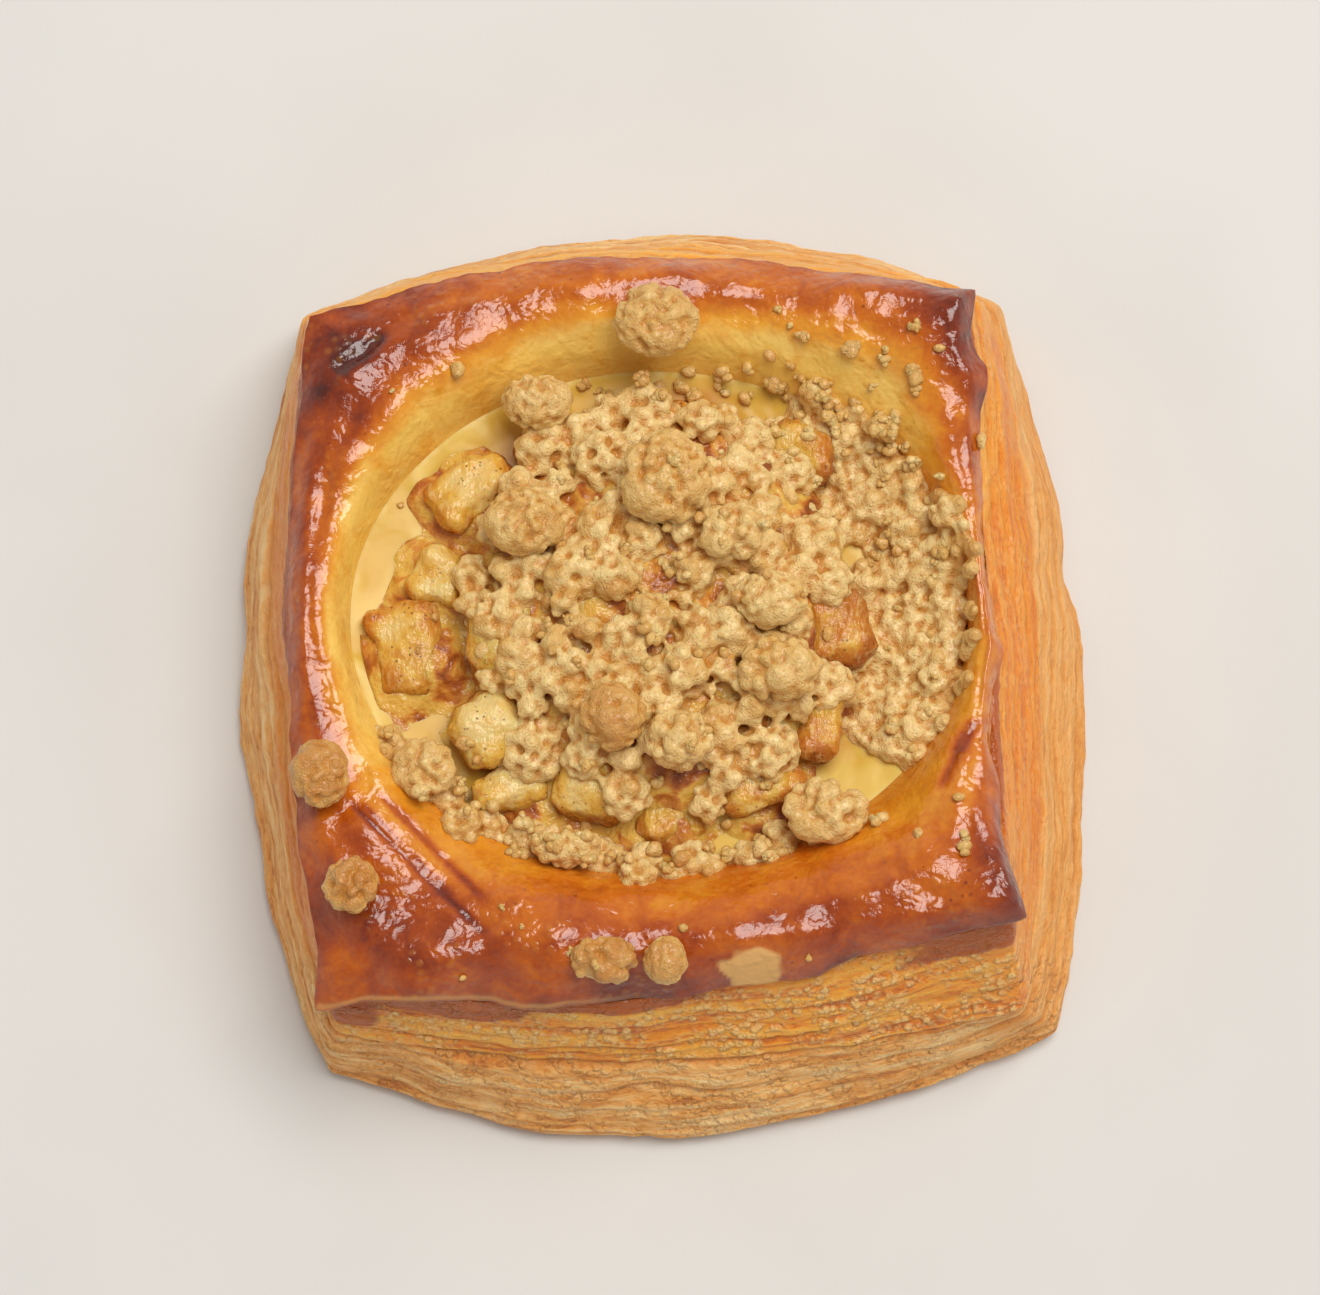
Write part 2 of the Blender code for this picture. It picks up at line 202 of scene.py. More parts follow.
@dataclass(frozen=True)
class Well:
    """The round well in the pastry and the custard that fills it, in mm."""

    centre: tuple[float, float] = (-0.6, 2.2)
    radii: tuple[float, float] = (37.8, 31.5)
    custard_line: float = 23.0
    custard_level: float = 20.8
    floor: float = 9.0

    def angle(self, turn: float) -> float:
        """The angle on the well's edge that lies opposite a turn of the lip."""
        side, t = math.floor(turn) % 4, turn % 1.0
        start, end = (
            math.atan2(
                (y - self.centre[1]) / self.radii[1], (x - self.centre[0]) / self.radii[0]
            )
            for x, y in (LIP.corners[side], LIP.corners[(side + 1) % 4])
        )
        return start + ((end - start) % math.tau) * t

    def point(self, share: float, turn: float) -> Vector:
        """The point in plan at a share of the well's radii, in metres."""
        return self.point_at(share, self.angle(turn))

    def point_at(self, share: float, angle: float) -> Vector:
        """The point in plan at a share of the well's radii and an angle, in metres."""
        reach = Vector((self.radii[0] * math.cos(angle), self.radii[1] * math.sin(angle)))
        return (Vector(self.centre) + reach * share) * MM

    def share(self, place: Vector) -> float:
        """How far out a place lies: 0 in the middle, 1 at the well's edge."""
        return math.hypot(
            (place.x / MM - self.centre[0]) / self.radii[0],
            (place.y / MM - self.centre[1]) / self.radii[1],
        )

    def surface(self, place: Vector) -> float:
        """The custard's height at a place, in metres."""
        rise = self.custard_line - self.custard_level
        return (self.custard_level + rise * min(self.share(place), 1.0) ** 5) * MM


def level(height: float) -> Around:
    """A height in mm that stays the same all round."""
    return Around((height,) * 4, (height,) * 4)


LIP_HEIGHT = Around((27.0, 31.0, 30.5, 28.5), (26.5, 27.0, 27.5, 27.0))
CREST_HEIGHT = Around((30.0, 33.5, 33.0, 31.0), (31.0, 29.5, 31.0, 29.5))
CREST_PLACE = Around((0.33, 0.16, 0.20, 0.48), (0.34, 0.40, 0.34, 0.36))
# How level the rim stays past its crest before it drops to the custard.
CREST_BREADTH = Around((3.0, 3.0, 3.0, 4.0), (2.8, 3.5, 2.8, 5.0))
BASE = Plan(
    ((-42.3, -52.4), (50.6, -46.7), (44.8, 49.0), (-47.2, 47.9)), (10.0, 7.0, 11.0, 10.0), level(2.4), 0.003
)
WAIST = Plan(
    ((-40.3, -48.2), (44.4, -45.4), (42.0, 45.5), (-46.0, 43.4)), (4.7, 4.2, 9.1, 5.9), level(14.0), 0.008
)
LIP = Plan(
    ((-39.2, -43.9), (41.2, -34.8), (37.4, 40.4), (-42.7, 38.2)), (5.2, 0.4, 6.9, 4.0), LIP_HEIGHT
)
WELL = Well()

@dataclass(frozen=True)
class Seam:
    """A browned edge between two leaves of dough: its height as a share of its tier."""

    height: float
    strength: float


# The leaves differ in thickness, so their seams are unevenly spaced.
LOWER_SEAMS = (
    Seam(0.07, 0.7),
    Seam(0.17, 0.5),
    Seam(0.25, 0.7),
    Seam(0.37, 0.35),
    Seam(0.46, 0.6),
    Seam(0.60, 0.35),
    Seam(0.70, 0.75),
    Seam(0.88, 0.45),
)
UPPER_SEAMS = (
    Seam(0.13, 0.5),
    Seam(0.24, 0.9),
    Seam(0.42, 0.35),
    Seam(0.58, 0.5),
    Seam(0.80, 0.45),
)

# The lip isn't a clean line: it ruffles, draws in and juts out in these places.
LIP_FEATURES = (
    Feature(0.0, 0.05, 2.6, -2.2),
    Feature(0.12, 0.05, 0.2, 1.0),
    Feature(0.21, 0.05, -0.9, -0.4),
    Feature(0.30, 0.05, 0.5, 0.8),
    Feature(0.42, 0.06, -0.5, -0.5),
    Feature(0.56, 0.06, -0.8, 0.3),
    Feature(0.78, 0.05, -0.9, 0.2),
    Feature(0.99, 0.05, 1.6, 0.9),
    Feature(1.12, 0.05, -1.2, 0.4),
    Feature(1.27, 0.10, -2.0, -0.6),
    Feature(1.42, 0.035, 0.8, 0.2),
    Feature(1.62, 0.12, -1.0, 0.0),
    Feature(1.86, 0.035, 1.5, 0.8),
    Feature(1.93, 0.03, -0.7, 0.2),
    Feature(2.00, 0.03, 0.9, 0.9),
    Feature(3.03, 0.04, 0.7, 0.5),
    Feature(3.12, 0.03, -0.7, 0.0),
    Feature(3.55, 0.10, -0.4, 0.3),
)
# The base spreads unevenly too.
BASE_FEATURES = (
    Feature(0.45, 0.30, 1.2),
    Feature(1.52, 0.05, 0.7),
    Feature(1.62, 0.04, -0.9),
    Feature(2.30, 0.15, 0.8),
    Feature(3.42, 0.06, -1.2),
    Feature(3.55, 0.08, 0.9),
    Feature(0.08, 0.06, -0.9),
)
# How dark the crust is at its crest, and where it meets the custard.
OUTER_BAKE = Around((0.62, 0.53, 0.57, 0.69), (0.64, 0.46, 0.53, 0.62))
# At the rear by the custard the values are partly painted light: they are set lighter because that slope
# faces away from the lamp.
INNER_BAKE_AND_PAINTED_LIGHT = Around((0.24, 0.36, 0.04, 0.04), (0.42, 0.36, -0.08, 0.03))
# Where glaze has run down over the side, and the lowest rise that it reaches.
SYRUP_RUNS = (
    (Feature(0.97, 0.13, 0.0), 0.84),
    (Feature(0.00, 0.07, 0.0), 0.66),
    (Feature(0.14, 0.16, 0.0), 0.84),
    (Feature(0.36, 0.22, 0.0), 0.93),
    (Feature(1.50, 0.40, 0.0), 0.965),
    (Feature(2.10, 0.25, 0.0), 0.90),
    (Feature(3.40, 0.45, 0.0), 0.86),
)
CRUST_CREASES = (
    Crease((-37.5, -22.0), (-20.6, -38.6), 0.32, 0.50),
    Crease((-35.8, -22.4), (-24.6, -33.6), 0.12, 0.30),
    Crease((-34.4, -20.6), (-21.0, -34.0), 0.20, 0.45),
    Crease((-40.0, 31.5), (-34.0, 36.5), 0.7, 0.9),
    Crease((37.5, -12.0), (33.0, -21.0), 0.35, 0.7),
)
CRUST_SWELLS = (
    Spot((39.8, -32.0), 4.5, 1.3),
    Spot((36.0, -29.0), 3.0, -0.5),
    Spot((35.5, 36.5), 5.0, 1.0),
    Spot((-15.0, -38.5), 6.0, 0.6),
    Spot((8.0, -36.0), 7.0, 0.5),
)
BURNT_SPOTS = (
    Spot((41.5, -33.5), 4.6, 0.29),
    Spot((38.8, -27.0), 4.4, 0.20),
    Spot((33.0, -37.0), 4.0, 0.12),
    Spot((35.5, 39.5), 4.4, 0.24),
    Spot((37.8, 33.0), 3.6, 0.22),
    Spot((39.4, 28.0), 2.0, 0.28),
    Spot((37.6, 21.0), 3.0, 0.12),
    Spot((40.0, -12.0), 10.0, -0.06),
    Spot((-37.4, 34.2), 2.0, 0.24),
    Spot((-41.6, 29.0), 1.6, 0.22),
    Spot((-33.0, 33.0), 9.0, 0.08),
    Spot((-31.0, -36.0), 8.0, 0.12),
    Spot((-5.0, -44.5), 3.0, 0.22),
    Spot((20.0, -39.5), 3.4, 0.16),
)


# ---------------------------------------------------------------------------------------------
# Materials
# ---------------------------------------------------------------------------------------------

Input = Union[float, tuple, "Field"]


class Field:
    """A number or colour that varies over a surface: a socket with arithmetic."""

    def __init__(self, recipe: "Recipe", socket: bpy.types.NodeSocket) -> None:
        """Wraps a socket of a recipe's nodes."""
        self.recipe = recipe
        self.socket = socket

    def __add__(self, other: Input) -> "Field":
        """This plus other."""
        return self.recipe.maths("ADD", self, other)

    __radd__ = __add__

    def __mul__(self, other: Input) -> "Field":
        """This times other."""
        return self.recipe.maths("MULTIPLY", self, other)

    __rmul__ = __mul__

    def __sub__(self, other: Input) -> "Field":
        """This minus other."""
        return self.recipe.maths("SUBTRACT", self, other)

    def __rsub__(self, other: Input) -> "Field":
        """Other minus this."""
        return self.recipe.maths("SUBTRACT", other, self)

    def between(self, low: float, high: float) -> "Field":
        """Eases from 0 where this is low to 1 where it is high."""
        settings = {"interpolation_type": "SMOOTHSTEP"}
        made = self.recipe.node("ShaderNodeMapRange", settings, {0: self, 1: low, 2: high})
        return Field(self.recipe, made.outputs[0])


class Recipe:
    """The nodes of one material."""

    def __init__(self, name: str) -> None:
        """Starts a material with one Principled shader."""
        self.material = bpy.data.materials.new(name)
        self.material.use_nodes = True
        self.tree = self.material.node_tree
        self.shader = self.tree.nodes["Principled BSDF"]
        self.place = Field(self, self.node("ShaderNodeTexCoord").outputs["Object"])

    def node(
        self, kind: str, settings: dict | None = None, inputs: dict | None = None
    ) -> bpy.types.Node:
        """Adds a node.

        Args:
            kind: The node's type.
            settings: Its properties, which are set first.
            inputs: Values or fields, by socket name or number.

        Returns:
            The new node.
        """
        made = self.tree.nodes.new(kind)
        for key, value in (settings or {}).items():
            setattr(made, key, value)
        for key, value in (inputs or {}).items():
            self.feed(made.inputs[key], value)
        return made

    def feed(self, socket: bpy.types.NodeSocket, value: Input) -> None:
        """Links a field to a socket, or sets the socket's own value."""
        if isinstance(value, Field):
            self.tree.links.new(value.socket, socket)
        else:
            socket.default_value = value

    def maths(self, operation: str, first: Input, second: Input) -> Field:
        """A Math node on two numbers."""
        made = self.node("ShaderNodeMath", {"operation": operation}, {0: first, 1: second})
        return Field(self, made.outputs[0])

    def read(self, name: str) -> Field:
        """A number stored on the mesh's points."""
        return Field(self, self.node("ShaderNodeAttribute", {"attribute_name": name}).outputs["Fac"])

    def scaled(self, factors: tuple[float, float, float]) -> Field:
        """The place on the object, stretched along each axis."""
        settings = {"operation": "MULTIPLY"}
        made = self.node("ShaderNodeVectorMath", settings, {0: self.place, 1: factors})
        return Field(self, made.outputs[0])

    def layered(self, stretch: float, height: float) -> Field:
        """A place that follows the leaves of dough: it is shrunk sideways, and its height is the rise.

        Args:
            stretch: What x and y are multiplied by.
            height: The height in metres of a rise of 1.

        Returns:
            The place.
        """
        parts = self.node("ShaderNodeSeparateXYZ", None, {0: self.place})
        inputs = {
            "X": Field(self, parts.outputs[0]) * stretch,
            "Y": Field(self, parts.outputs[1]) * stretch,
            "Z": self.read("rise") * height,
        }
        return Field(self, self.node("ShaderNodeCombineXYZ", None, inputs).outputs[0])

    def along(self, axis: int) -> Field:
        """How far along an axis a place lies, in metres."""
        return Field(self, self.node("ShaderNodeSeparateXYZ", None, {0: self.place}).outputs[axis])

    def lumps(
        self, size: float, detail: float = 2.0, place: Field | None = None, distortion: float = 0.0
    ) -> Field:
        """Smooth noise from 0 to 1.

        Args:
            size: How far apart its lumps lie, in metres.
            detail: How many finer layers it has.
            place: Where it is read, in place of the object's own coordinates.
            distortion: How much it swirls.

        Returns:
            The noise.
        """
        inputs = {
            "Vector": place or self.place,
            "Scale": 1.0 / size,
            "Detail": detail,
            "Distortion": distortion,
        }
        return Field(self, self.node("ShaderNodeTexNoise", None, inputs).outputs[0])

    def cells(self, size: float, place: Field | None = None, randomness: float = 1.0) -> Field:
        """The distance to the nearest of many scattered points, from 0 at a point.

        Args:
            size: How far apart the points lie, in metres.
            place: Where it is read, in place of the object's own coordinates.
            randomness: How uneven the scatter is.

        Returns:
            The distance, as a share of size.
        """
        inputs = {"Vector": place or self.place, "Scale": 1.0 / size, "Randomness": randomness}
        made = self.node("ShaderNodeTexVoronoi", {"feature": "F1"}, inputs)
        return Field(self, made.outputs["Distance"])

    def ramp(self, value: Field, stops: tuple[tuple[float, Colour], ...]) -> Field:
        """A colour for each value.

        Args:
            value: The number that picks the colour.
            stops: Positions from 0 to 1, each with its colour.

        Returns:
            The colour.
        """
        made = self.node("ShaderNodeValToRGB", None, {"Fac": value})
        elements = made.color_ramp.elements
        while len(elements) < len(stops):
            elements.new(0.5)
        for element, (position, colour) in zip(elements, stops):
            element.position = position
            element.color = (*colour, 1.0)
        return Field(self, made.outputs["Color"])

    def mix(self, share: Input, first: Input, second: Input, blend: str = "MIX") -> Field:
        """A mix of two colours, each a field or a plain colour."""
        ends = {
            index: value if isinstance(value, Field) else (*value, 1.0)
            for index, value in ((6, first), (7, second))
        }
        settings = {"data_type": "RGBA", "blend_type": blend, "clamp_factor": True}
        made = self.node("ShaderNodeMix", settings, {0: share, **ends})
        return Field(self, made.outputs[2])

    def bump(self, height: Field, distance: float, strength: float = 1.0) -> Field:
        """A normal for relief whose height field spans a distance in metres."""
        inputs = {"Height": height, "Distance": distance, "Strength": strength}
        return Field(self, self.node("ShaderNodeBump", None, inputs).outputs[0])

    def finish(self, **sockets: Input) -> bpy.types.Material:
        """Feeds the shader and gives the material back.

        Args:
            sockets: Values or fields, by socket name with _ for a space.

        Returns:
            The finished material.
        """
        for name, value in sockets.items():
            self.feed(self.shader.inputs[name.replace("_", " ").title().replace("Ior", "IOR")], value)
        return self.material


@dataclass(frozen=True)
class CrustFinish:
    """Egg-washed, glazed crust: gold by the custard, red-brown on the roll, near black if burnt."""

    custard_gold: Colour = (0.96, 0.62, 0.13)
    gold: Colour = (0.82, 0.34, 0.022)
    orange: Colour = (0.61, 0.145, 0.005)
    russet: Colour = (0.39, 0.060, 0.003)
    brown: Colour = (0.21, 0.025, 0.004)
    burnt: Colour = (0.09, 0.014, 0.007)
    peeled: Colour = (0.74, 0.40, 0.12)

    def material(self) -> bpy.types.Material:
        """Makes the crust's material.

        Returns:
            The material, which reads how baked each point is, with painted light and shade mixed in, and
            its peel.
        """
        make = Recipe("glazed_crust")
        bake = make.read("bake")
        peel = make.read("peel")
        mottle = make.lumps(3.6 * MM, 4.0, distortion=0.8) - 0.5
        freckle = make.lumps(0.60 * MM, 3.0) - 0.5
        shade = bake + mottle * 0.46 + freckle * 0.16
        stops = (
            (0.0, self.custard_gold),
            (0.22, self.gold),
            (0.48, self.orange),
            (0.68, self.russet),
            (0.85, self.brown),
            (1.0, self.burnt),
        )
        colour = make.ramp(shade, stops)
        blister = make.cells(1.3 * MM).between(0.50, 0.16)
        blister_zone = make.lumps(7.0 * MM, 2.0).between(0.50, 0.62)
        colour = make.mix(blister * blister_zone * 0.15, colour, self.gold)
        dots = make.cells(1.7 * MM).between(0.17, 0.11) * make.lumps(5.0 * MM, 2.0).between(0.48, 0.60)
        colour = make.mix(dots * bake.between(0.3, 0.6) * 0.7, colour, self.brown)
        colour = make.mix(peel, colour, self.peeled)
        waves = make.lumps(3.4 * MM, 2.0, distortion=0.5)
        wrinkles = make.lumps(1.1 * MM, 3.0, distortion=0.9)
        relief = waves * 1.0 + wrinkles * 0.24 + blister * blister_zone * 0.14
        return make.finish(
            base_color=colour,
            roughness=0.15 + peel * 0.5,
            specular_ior_level=0.72,
            normal=make.bump(relief, 0.50 * MM),
        )


@dataclass(frozen=True)
class LeavesFinish:
    """The cut side: straw flakes below the waist, golden bubbled leaves above it."""

    crumb: Colour = (0.97, 0.64, 0.27)
    straw: Colour = (0.93, 0.48, 0.14)
    tan: Colour = (0.82, 0.34, 0.060)
    line: Colour = (0.58, 0.19, 0.030)
    yellow: Colour = (0.97, 0.47, 0.055)
    golden: Colour = (0.93, 0.35, 0.025)
    orange: Colour = (0.80, 0.21, 0.010)
    # Blister colour: partly their own paler dough, partly painted highlight.
    bubble_and_highlight: Colour = (1.0, 0.60, 0.20)
    seam: Colour = (0.52, 0.13, 0.014)
    glazed: Colour = (0.42, 0.075, 0.006)

    def material(self) -> bpy.types.Material:
        """Makes the side's material.

        Returns:
            The material, which reads the points' rise, seam and syrup.
        """
        make = Recipe("dough_leaves")
        rise = make.read("rise")
        seam = make.read("seam")
        strips = make.lumps(1.7 * MM, 2.0, make.layered(0.09, 30.0 * MM), 0.3)
        threads = make.lumps(0.62 * MM, 2.0, make.layered(0.16, 30.0 * MM), 0.3)
        flakes = make.lumps(0.80 * MM, 3.0, make.scaled((0.65, 0.65, 1.5)), 1.0)
        leafy = strips * 0.45 + threads * 0.30 + flakes * 0.25
        below = make.ramp(
            leafy, ((0.37, self.line), (0.44, self.tan), (0.51, self.straw), (0.59, self.crumb))
        )
        front = make.along(1).between(-35.0 * MM, -42.0 * MM)
        left = make.along(0).between(-38.0 * MM, -43.0 * MM)
        right = make.along(0).between(38.0 * MM, 43.0 * MM)
        large = make.cells(1.25 * MM).between(0.60, 0.28)
        small = make.cells(0.70 * MM).between(0.60, 0.30)
        clustered = make.lumps(3.4 * MM, 2.0).between(0.36, 0.56)
        bubbles = (large * 0.75 + small * 0.4) * clustered * (front * 0.75 + 0.25)
        above = make.ramp(
            leafy, ((0.36, self.seam), (0.43, self.orange), (0.50, self.golden), (0.58, self.yellow))
        )
        # Both sides go more orange. On the left that is the dough's own colour; on the right it is partly
        # its own strips and partly painted shade.
        above = make.mix(left * 0.55 + right * 0.50, above, self.orange)
        rear = make.along(1).between(38.0 * MM, 44.0 * MM)
        above = make.mix(rear * 0.5, above, self.yellow)
        # Bubbles are lightest at their tops: partly pale blister dough, partly painted highlight.
        above = make.mix(bubbles, above, self.bubble_and_highlight)
        upper = (rise + (make.lumps(5.0 * MM, 2.0) - 0.5) * 0.10).between(0.45, 0.54)
        # Tan on the right below the waist: partly the dough's own colour, partly painted shade.
        colour = make.mix(upper, make.mix(right * 0.50, below, self.tan), above)
        colour = make.mix(rise.between(0.06, 0.0) * 0.6, colour, self.line)
        colour = make.mix(rise.between(0.92, 1.0) * 0.5, colour, self.orange)
        colour = make.mix(seam * (0.25 + make.lumps(2.2 * MM, 2.0) * 0.8), colour, self.seam)
        syrup = (make.read("syrup") + (make.lumps(1.8 * MM, 2.0) - 0.5) * 0.7).between(0.30, 0.60)
        colour = make.mix(syrup * 0.88, colour, self.glazed)
        relief = strips * 0.9 + threads * 0.35 + flakes * 0.5 + bubbles * 0.7
        return make.finish(
            base_color=colour,
            roughness=0.50 - upper * 0.20 - syrup * 0.12,
            specular_ior_level=0.5,
            subsurface_weight=0.18,
            subsurface_radius=(0.004, 0.0018, 0.0006),
            subsurface_scale=0.5,
            normal=make.bump(relief, 0.60 * MM),
        )


@dataclass(frozen=True)
class CustardFinish:
    """Baked custard: smooth, yellow, darker where syrup has run into it."""

    yellow: Colour = (0.72, 0.45, 0.055)
    cream: Colour = (0.84, 0.61, 0.15)
    syrup: Colour = (0.60, 0.28, 0.05)

    def material(self) -> bpy.types.Material:
        """Makes the custard's material.

        Returns:
            The material, which reads the points' stain.
        """
        make = Recipe("custard")
        patches = make.lumps(8.0 * MM, 1.0, distortion=0.6)
        colour = make.mix(patches.between(0.42, 0.64) * 0.8, self.yellow, self.cream)
        stain = (make.read("stain") + make.lumps(2.5 * MM, 2.0) * 0.4).between(0.45, 1.25)
        colour = make.mix(stain, colour, self.syrup)
        relief = patches + make.lumps(2.4 * MM, 1.0) * 0.16
        return make.finish(
            base_color=colour,
            roughness=0.34,
            specular_ior_level=0.36,
            subsurface_weight=0.30,
            subsurface_radius=(0.004, 0.0024, 0.0008),
            subsurface_scale=0.5,
            normal=make.bump(relief, 0.9 * MM),
        )


@dataclass(frozen=True)
class AppleFinish:
    """Cooked apple: pale flesh, browned by syrup at its edges, flecked with cinnamon."""

    flesh: Colour = (0.84, 0.62, 0.24)
    yellow: Colour = (0.78, 0.45, 0.07)
    brown: Colour = (0.60, 0.22, 0.025)
    dark: Colour = (0.40, 0.11, 0.014)
    cinnamon: Colour = (0.12, 0.034, 0.012)

    def material(self) -> bpy.types.Material:
        """Makes the apple's material.

        Returns:
            The material, which reads the points' tone.
        """
        make = Recipe("cooked_apple")
        tone = make.read("tone") + (make.lumps(2.2 * MM, 3.0, distortion=0.6) - 0.5) * 0.85
        stops = ((0.0, self.flesh), (0.32, self.yellow), (0.66, self.brown), (1.0, self.dark))
        colour = make.ramp(tone, stops)
        fibres = make.lumps(0.65 * MM, 2.0, make.scaled((1.0, 0.35, 0.6)))
        colour = make.mix(fibres.between(0.5, 0.7) * 0.35, colour, self.flesh)
        flecks = make.cells(0.85 * MM).between(0.22, 0.13) * make.lumps(3.0 * MM).between(0.42, 0.58)
        colour = make.mix(flecks * 0.75, colour, self.cinnamon)
        relief = make.lumps(1.3 * MM, 3.0) + fibres * 0.5
        return make.finish(
            base_color=colour,
            roughness=0.24,
            specular_ior_level=0.5,
            subsurface_weight=0.45,
            subsurface_radius=(0.004, 0.0020, 0.0006),
            subsurface_scale=0.7,
            normal=make.bump(relief, 0.55 * MM),
        )


@dataclass(frozen=True)
class StreuselFinish:
    """Butter crumble: pale tan, toasted on top, sugary and granular, with painted shade in its clefts."""

    pale: Colour = (0.87, 0.63, 0.265)
    tan: Colour = (0.73, 0.435, 0.128)
    toasted: Colour = (0.56, 0.23, 0.048)
    # Painted shade for the clefts between crumbs.
    cleft_shade: Colour = (0.60, 0.235, 0.024)

    def material(self) -> bpy.types.Material:
        """Makes the crumble's material.

        Returns:
            The material, which reads the points' toast and their painted shade in clefts.
        """
        make = Recipe("streusel")
        toast = make.read("toast") + (make.lumps(2.0 * MM, 3.0) - 0.5) * 0.9
        stops = ((0.0, self.pale), (0.45, self.tan), (1.0, self.toasted))
        colour = make.ramp(toast, stops)
        grains = make.cells(0.40 * MM).between(0.5, 0.15)
        colour = make.mix(grains * 0.18, colour, self.pale)
        # Painted shade where a point lies deep in the clefts.
        colour = make.mix(make.read("cleft_shade") * 0.85, colour, self.cleft_shade)
        relief = grains * 0.30 + make.lumps(0.7 * MM, 2.0) * 0.8
        return make.finish(
            base_color=colour,
            roughness=0.30,
            specular_ior_level=0.5,
            subsurface_weight=0.28,
            subsurface_radius=(0.0022, 0.0013, 0.0005),
            subsurface_scale=0.5,
            normal=make.bump(relief, 0.28 * MM),
        )


@dataclass(frozen=True)
class CompoteFinish:
    """The syrupy apple under the crumble: red-brown, wet."""

    apple: Colour = (0.78, 0.47, 0.09)
    amber: Colour = (0.66, 0.28, 0.045)
    red_brown: Colour = (0.46, 0.135, 0.022)
    shadow: Colour = (0.24, 0.055, 0.012)

    def material(self) -> bpy.types.Material:
        """Makes the compote's material."""
        make = Recipe("apple_compote")
        shade = make.lumps(3.6 * MM, 3.0, distortion=0.6).between(0.26, 0.74)
        stops = ((0.0, self.shadow), (0.22, self.red_brown), (0.48, self.amber), (0.72, self.apple))
        relief = make.lumps(1.8 * MM, 3.0)
        return make.finish(
            base_color=make.ramp(shade, stops),
            roughness=0.22,
            specular_ior_level=0.5,
            subsurface_weight=0.35,
            subsurface_radius=(0.004, 0.0018, 0.0006),
            subsurface_scale=0.6,
            normal=make.bump(relief, 0.9 * MM),
        )


@dataclass(frozen=True)
class FloorFinish:
    """A plain pale worktop."""

    pale: Colour = (0.76, 0.74, 0.705)
    shade: Colour = (0.735, 0.715, 0.68)

    def material(self) -> bpy.types.Material:
        """Makes the worktop's material."""
        make = Recipe("worktop")
        patches = make.lumps(60.0 * MM, 3.0).between(0.35, 0.65)
        return make.finish(
            base_color=make.mix(patches, self.pale, self.shade), roughness=0.85, specular_ior_level=0.2
        )


# ---------------------------------------------------------------------------------------------
# Meshes
# ---------------------------------------------------------------------------------------------


def to_object(name: str, bm: bmesh.types.BMesh, material: bpy.types.Material) -> bpy.types.Object:
    """Makes a piece of a mesh.

    Args:
        name: The piece's name.
        bm: Its mesh, which is freed.
        material: Its finish.

    Returns:
        The new object, at the origin.
    """
    mesh = bpy.data.meshes.new(name)
    bm.to_mesh(mesh)
    bm.free()
    mesh.shade_smooth()
    mesh.materials.append(material)
    made = bpy.data.objects.new(name, mesh)
    bpy.context.scene.collection.objects.link(made)
    return made


def dress(piece: bpy.types.Object, slot: str, *nodes: str) -> bpy.types.Object:
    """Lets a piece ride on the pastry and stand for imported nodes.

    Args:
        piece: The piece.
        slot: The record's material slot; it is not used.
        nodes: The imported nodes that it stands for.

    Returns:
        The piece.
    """
    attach(piece, BODY)
    if nodes:
        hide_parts(*nodes)
    LOG.info("%s: %d faces", piece.name, len(piece.data.polygons))
    return piece


def face_outward(bm: bmesh.types.BMesh) -> None:
    """Turns the faces of a closed mesh to point out of it."""
    bmesh.ops.recalc_face_normals(bm, faces=bm.faces)
    if bm.calc_volume(signed=True) < 0:
        bmesh.ops.reverse_faces(bm, faces=bm.faces)


def icosphere(subdivisions: int) -> bpy.types.Mesh:
    """A unit ball, to be copied many times."""
    bm = bmesh.new()
    bmesh.ops.create_icosphere(bm, subdivisions=subdivisions, radius=1.0)
    mesh = bpy.data.meshes.new("ball")
    bm.to_mesh(mesh)
    bm.free()
    return mesh


def append(bm: bmesh.types.BMesh, mesh: bpy.types.Mesh, placing: Matrix) -> None:
    """Adds a placed copy of a mesh to another."""
    mesh.transform(placing)
    bm.from_mesh(mesh)
    mesh.transform(placing.inverted())


Ring = Callable[[float], Vector]


def turned(
    rings: list[Ring], steps: int, closed: bool, **fields: Callable[[int, float, Vector], float]
) -> bmesh.types.BMesh:
    """Bends a grid round into a closed body, each of whose rings has its own outline.

    Args:
        rings: For each ring, the function from a turn, 0 to 4, to a point.
        steps: How many segments go all the way round.
        closed: Whether the last ring is joined back to the first, as on a hoop. If not, the first
            and the last ring are single points.
        fields: Numbers to store on the vertices, by name, each a function of the ring's index, the
            turn and the point.

    Returns:
        The closed mesh.
    """
    rows = len(rings) + 1 if closed else len(rings)
    bm = bmesh.new()
    bmesh.ops.create_grid(bm, x_segments=steps, y_segments=rows - 1, size=0.5)
    layers = {name: bm.verts.layers.float.new(name) for name in fields}
    for vertex in bm.verts:
        ring = round((vertex.co.y + 0.5) * (rows - 1)) % len(rings)
        turn = round((vertex.co.x + 0.5) * steps) % steps * 4.0 / steps
        vertex.co = rings[ring](turn)
        for name, field in fields.items():
            vertex[layers[name]] = field(ring, turn, vertex.co)
    bmesh.ops.remove_doubles(bm, verts=bm.verts, dist=1e-7)
    face_outward(bm)
    return bm


def store(bm: bmesh.types.BMesh, name: str, values: Iterator[float] | list[float]) -> None:
    """Stores a number on each vertex, for the material to read."""
    layer = bm.verts.layers.float.new(name)
    for vertex, value in zip(bm.verts, values):
        vertex[layer] = value


# ---------------------------------------------------------------------------------------------
# The dough
# ---------------------------------------------------------------------------------------------


